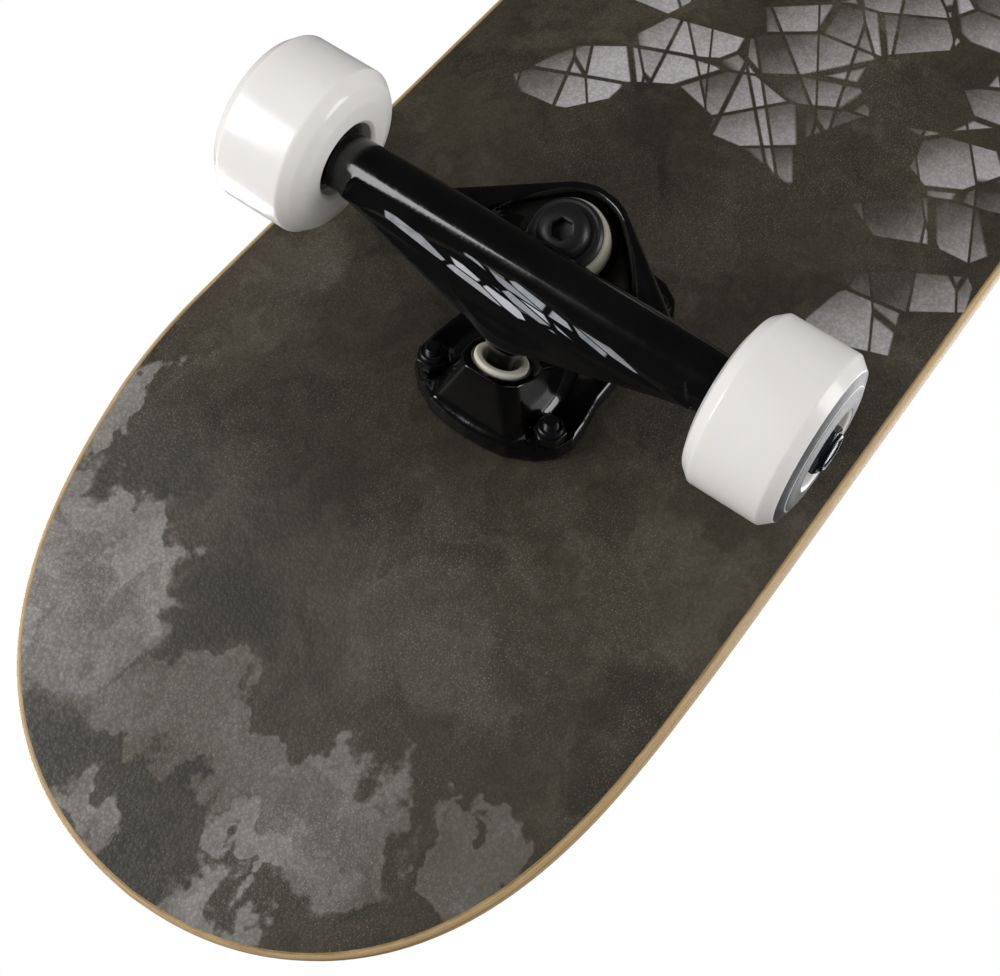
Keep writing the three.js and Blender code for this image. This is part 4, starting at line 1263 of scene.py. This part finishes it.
# Wheel: a flat tread, chamfered shoulders and a broad conical lip that runs in to the bearing's hole.
# h > 0 is the outboard side; its shoulder is crisper, and its face is printed.
OUT = [(25.5, 10.4, 1.3), (22.6, 13.7, 0.6), (18.0, 15.05, 6.0), (12.3, 15.55, 0.9), (11.35, 14.9, 0.5), (11.2, 12.3, 0.15)]
INN = [(25.5, 10.2, 1.6), (22.7, 13.6, 3.2), (18.0, 15.2, 6.0), (12.5, 15.55, 1.0), (11.35, 14.7, 0.6), (11.2, 12.3, 0.15)]
prof = [(8.7, -4.75, 0.3), (11.05, -4.75, 0.2), (11.05, -12.2, 0.05)] + [(r, -h, k) for r, h, k in reversed(INN)] + [(25.5, -3, 0), (25.5, 3, 0)] + OUT + [(11.05, 12.2, 0.05), (11.05, 4.75, 0.2), (8.7, 4.75, 0.3)]
WP = fillet([(r, h) for r, h, k in prof], closed=True, n=7, radii=[k for r, h, k in prof])


def wheel_mat(i):
    (r0, h0), (r1, h1) = WP[i], WP[(i + 1) % len(WP)]
    return 1 if (h0 > 13.3 and h1 > 13.3 and 12.2 < (r0 + r1) / 2 < 22.35) else 0


wheel_out = lathe("wheel_turned", WP, 128, YAX, (0, 0, 0), closed=True, mat_of=wheel_mat, angle=40)
wheel_out.materials.append(WHEEL)
wheel_out.materials.append(PRINT)


def bearing_mesh():
    outer = lathe("race_o", fillet([(9.5, -3.5), (10.95, -3.5), (10.95, 3.5), (9.5, 3.5)], 0.35, 4, closed=True), 96, YAX, (0, 0, 0), closed=True)
    inner = lathe("race_i", fillet([(4.1, -3.5), (6.0, -3.5), (6.0, 3.5), (4.1, 3.5)], 0.3, 4, closed=True), 80, YAX, (0, 0, 0), closed=True)
    sh = fillet([(6.05, -3.0), (6.7, -3.25), (7.4, -3.05), (8.4, -3.05), (8.9, -3.3), (9.45, -3.2), (9.45, 3.2), (8.9, 3.3), (8.4, 3.05), (7.4, 3.05), (6.7, 3.25), (6.05, 3.0)], 0.3, 3, closed=True)
    shield = lathe("shield", sh, 96, YAX, (0, 0, 0), closed=True)
    outer.materials.append(RACE)
    inner.materials.append(RACE)
    shield.materials.append(SHIELD)
    return merge("bearing", [outer, inner, shield])


bearing_me = bearing_mesh()

for end in ENDS:
    T = truck_matrix(end)
    hb = f"{end}_hanger_body"
    place(f"{end}_hanger_casting", hanger_me, None, T, hb, f"{end}_hanger")
    place(f"{end}_baseplate_casting", base_me, None, T, "board", f"{end}_baseplate")
    place(f"{end}_kingpin_bolt", kingpin_me, None, T, "board", f"{end}_kingpin")
    place(f"{end}_street_washer", topw_me, None, T, "board", f"{end}_top_washer")
    place(f"{end}_board_washer", botw_me, None, T, "board", f"{end}_bottom_washer")
    place(f"{end}_pivot_liner", cup_me, None, T, "board", f"{end}_pivot_cup")
    place(f"{end}_axle_rod", axle_me, None, T, hb, f"{end}_axle")
    for node, profile, far, near in (("top_bushing", TOPB, 15.2, 4.6), ("bottom_bushing", BOTB, -18.4, -2.8)):
        me = lathe(f"{end}_{node}_urethane", profile, 72, KD, RING, closed=True)
        # the top bushing takes the darker cream, a painted shade
        me.materials.append(CREAM_PAINTED_SHADE if node == "top_bushing" else CREAM)
        ob = place(f"{end}_{node}_urethane", me, None, T)
        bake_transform(ob)
        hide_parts(f"{end}_{node}")
    x0, turn = ENDS[end]
    ax_world = Vector(((x0 + (AXLE_AT[0] if turn == 0 else -AXLE_AT[0])) * MM, 0, (UNDERSIDE + AXLE_AT[1]) * MM))
    rng = random.Random(7 if end == "rear" else 11)
    for side, sy in (("left", 1), ("right", -1)):
        nm = f"{end}_{side}"
        flip = Matrix.Identity(4) if sy > 0 else Matrix.Rotation(math.pi, 4, "Z")

        def at(y, roll=0.0):
            return Matrix.Translation(ax_world + Vector((0, sy * y * MM, 0))) @ Matrix.Rotation(roll, 4, "Y") @ flip

        for k, y in (("inner", 64.62), ("outer", 89.62)):
            place(f"{nm}_{k}_washer_ring", sw_me, None, at(y), hb, f"{nm}_{k}_speed_washer")
        place(f"{nm}_lock_nut", axle_nut_me, None, at(90.25, rng.uniform(0, 1)), hb, f"{nm}_axle_nut")
        wb = f"{nm}_wheel_body"
        place(f"{nm}_wheel_turned", wheel_out, None, at(WHEEL_Y), wb, f"{nm}_wheel")
        inner = WHEEL_Y - 3.5 - 4.9
        place(f"{nm}_inner_bearing_races", bearing_me, None, at(inner), wb, f"{nm}_inner_bearing")
        place(f"{nm}_outer_bearing_races", bearing_me, None, at(2 * WHEEL_Y - inner), wb, f"{nm}_outer_bearing")
    for row, sx in (("outer", 1), ("inner", -1)):
        for side, sy in (("left", 1), ("right", -1)):
            bx = x0 + sx * (1 if turn == 0 else -1) * BOLT[0]
            M = Matrix.Translation((bx * MM, sy * BOLT[1] * MM, UNDERSIDE * MM)) @ Matrix.Rotation(rng.uniform(0, 1.0), 4, "Z")
            place(f"{end}_{row}_{side}_mount_bolt", bolt_me, None, M, "board", f"{end}_{row}_{side}_bolt")
            place(f"{end}_{row}_{side}_mount_nut", mount_nut_me, None, M, "board", f"{end}_{row}_{side}_nut")

# ------------------------------------------------------------------------------------------
# Stage, light and camera
# ------------------------------------------------------------------------------------------
def floor_material():
    N = Nodes("studio_floor")
    n = N.noise(14, 4, 0.6)
    col = N.mix(N.map(n, 0.3, 0.7), srgb(232, 232, 231), srgb(238, 238, 237))
    N.done(Base_Color=col, Roughness=0.6)
    tr = N.n("BsdfTransparent")
    back = N.n("NewGeometry").outputs["Backfacing"]
    mx = N.n("MixShader", ins={0: back})
    N.t.links.new(N.b.outputs[0], mx.inputs[1])
    N.t.links.new(tr.outputs[0], mx.inputs[2])
    N.t.links.new(mx.outputs[0], N.out.inputs[0])
    return N.m


fl = bpy.data.meshes.new("studio_floor")
F = 6.0
fl.from_pydata([(-F, -F, -0.0002), (F, -F, -0.0002), (F, F, -0.0002), (-F, F, -0.0002)], [], [(0, 1, 2, 3)])
fl.materials.append(floor_material())
floor = bpy.data.objects.new("studio_floor", fl)
scene.collection.objects.link(floor)
floor.visible_shadow = False
floor.visible_glossy = False
floor.visible_diffuse = False

world = bpy.data.worlds.new("studio")
scene.world = world
world.use_nodes = True
wt = world.node_tree
bg = wt.nodes["Background"]
lp = wt.nodes.new("ShaderNodeLightPath")
inner = wt.nodes.new("ShaderNodeMix")
inner.data_type = "FLOAT"
wt.links.new(lp.outputs["Is Glossy Ray"], inner.inputs[0])
inner.inputs[2].default_value = 0.42
inner.inputs[3].default_value = 0.035
outer = wt.nodes.new("ShaderNodeMix")
outer.data_type = "FLOAT"
wt.links.new(lp.outputs["Is Camera Ray"], outer.inputs[0])
wt.links.new(inner.outputs[0], outer.inputs[2])
outer.inputs[3].default_value = 1.0
wt.links.new(outer.outputs[0], bg.inputs[1])
bg.inputs[0].default_value = (1, 1, 1, 1)


def area(name, loc, target, size, power, size_y=None, color=(1, 1, 1)):
    l = bpy.data.lights.new(name, "AREA")
    l.energy = power
    l.color = color
    l.size = size
    if size_y:
        l.shape = "RECTANGLE"
        l.size_y = size_y
    o = bpy.data.objects.new(name, l)
    scene.collection.objects.link(o)
    o.location = loc
    o.rotation_euler = (Vector(target) - Vector(loc)).to_track_quat("-Z", "Y").to_euler()
    return o


AIM = Vector((-0.22, 0, 0.03))


def softbox(name, direction, distance, width, height, radiance, aim=AIM):
    d = Vector(direction).normalized()
    return area(name, aim + d * distance, aim, width, radiance * math.pi * width * height, height)


softbox("soft_left", (-0.64, -0.60, -0.48), 1.15, 0.55, 0.75, 6.8)
softbox("soft_right", (0.444, 0.856, -0.265), 1.15, 0.5, 0.8, 5.0)
area("top_key", (-0.7, -1.3, 1.7), (0, 0, 0.05), 1.1, 34, 1.1)
area("top_fill", (1.2, 1.1, 1.5), (0, 0, 0.05), 1.2, 18, 1.2)

cam = bpy.data.cameras.new("photo_camera")
cam.lens = 66.2986
cam.sensor_width = 36
cam.shift_x, cam.shift_y = 0.009117, -0.089755
cam.clip_start, cam.clip_end = 0.01, 50
camo = bpy.data.objects.new("photo_camera", cam)
scene.collection.objects.link(camo)
camo.matrix_world = Matrix((
    (0.5844928, 0.6676205, -0.4611411, -0.4757247),
    (0.8099815, -0.5136595, 0.2829910, 0.1489750),
    (-0.0479389, -0.5389220, -0.8409905, -0.3707474),
    (0, 0, 0, 1)))
scene.camera = camo
scene.view_settings.view_transform = "Standard"
scene.view_settings.look = "None"
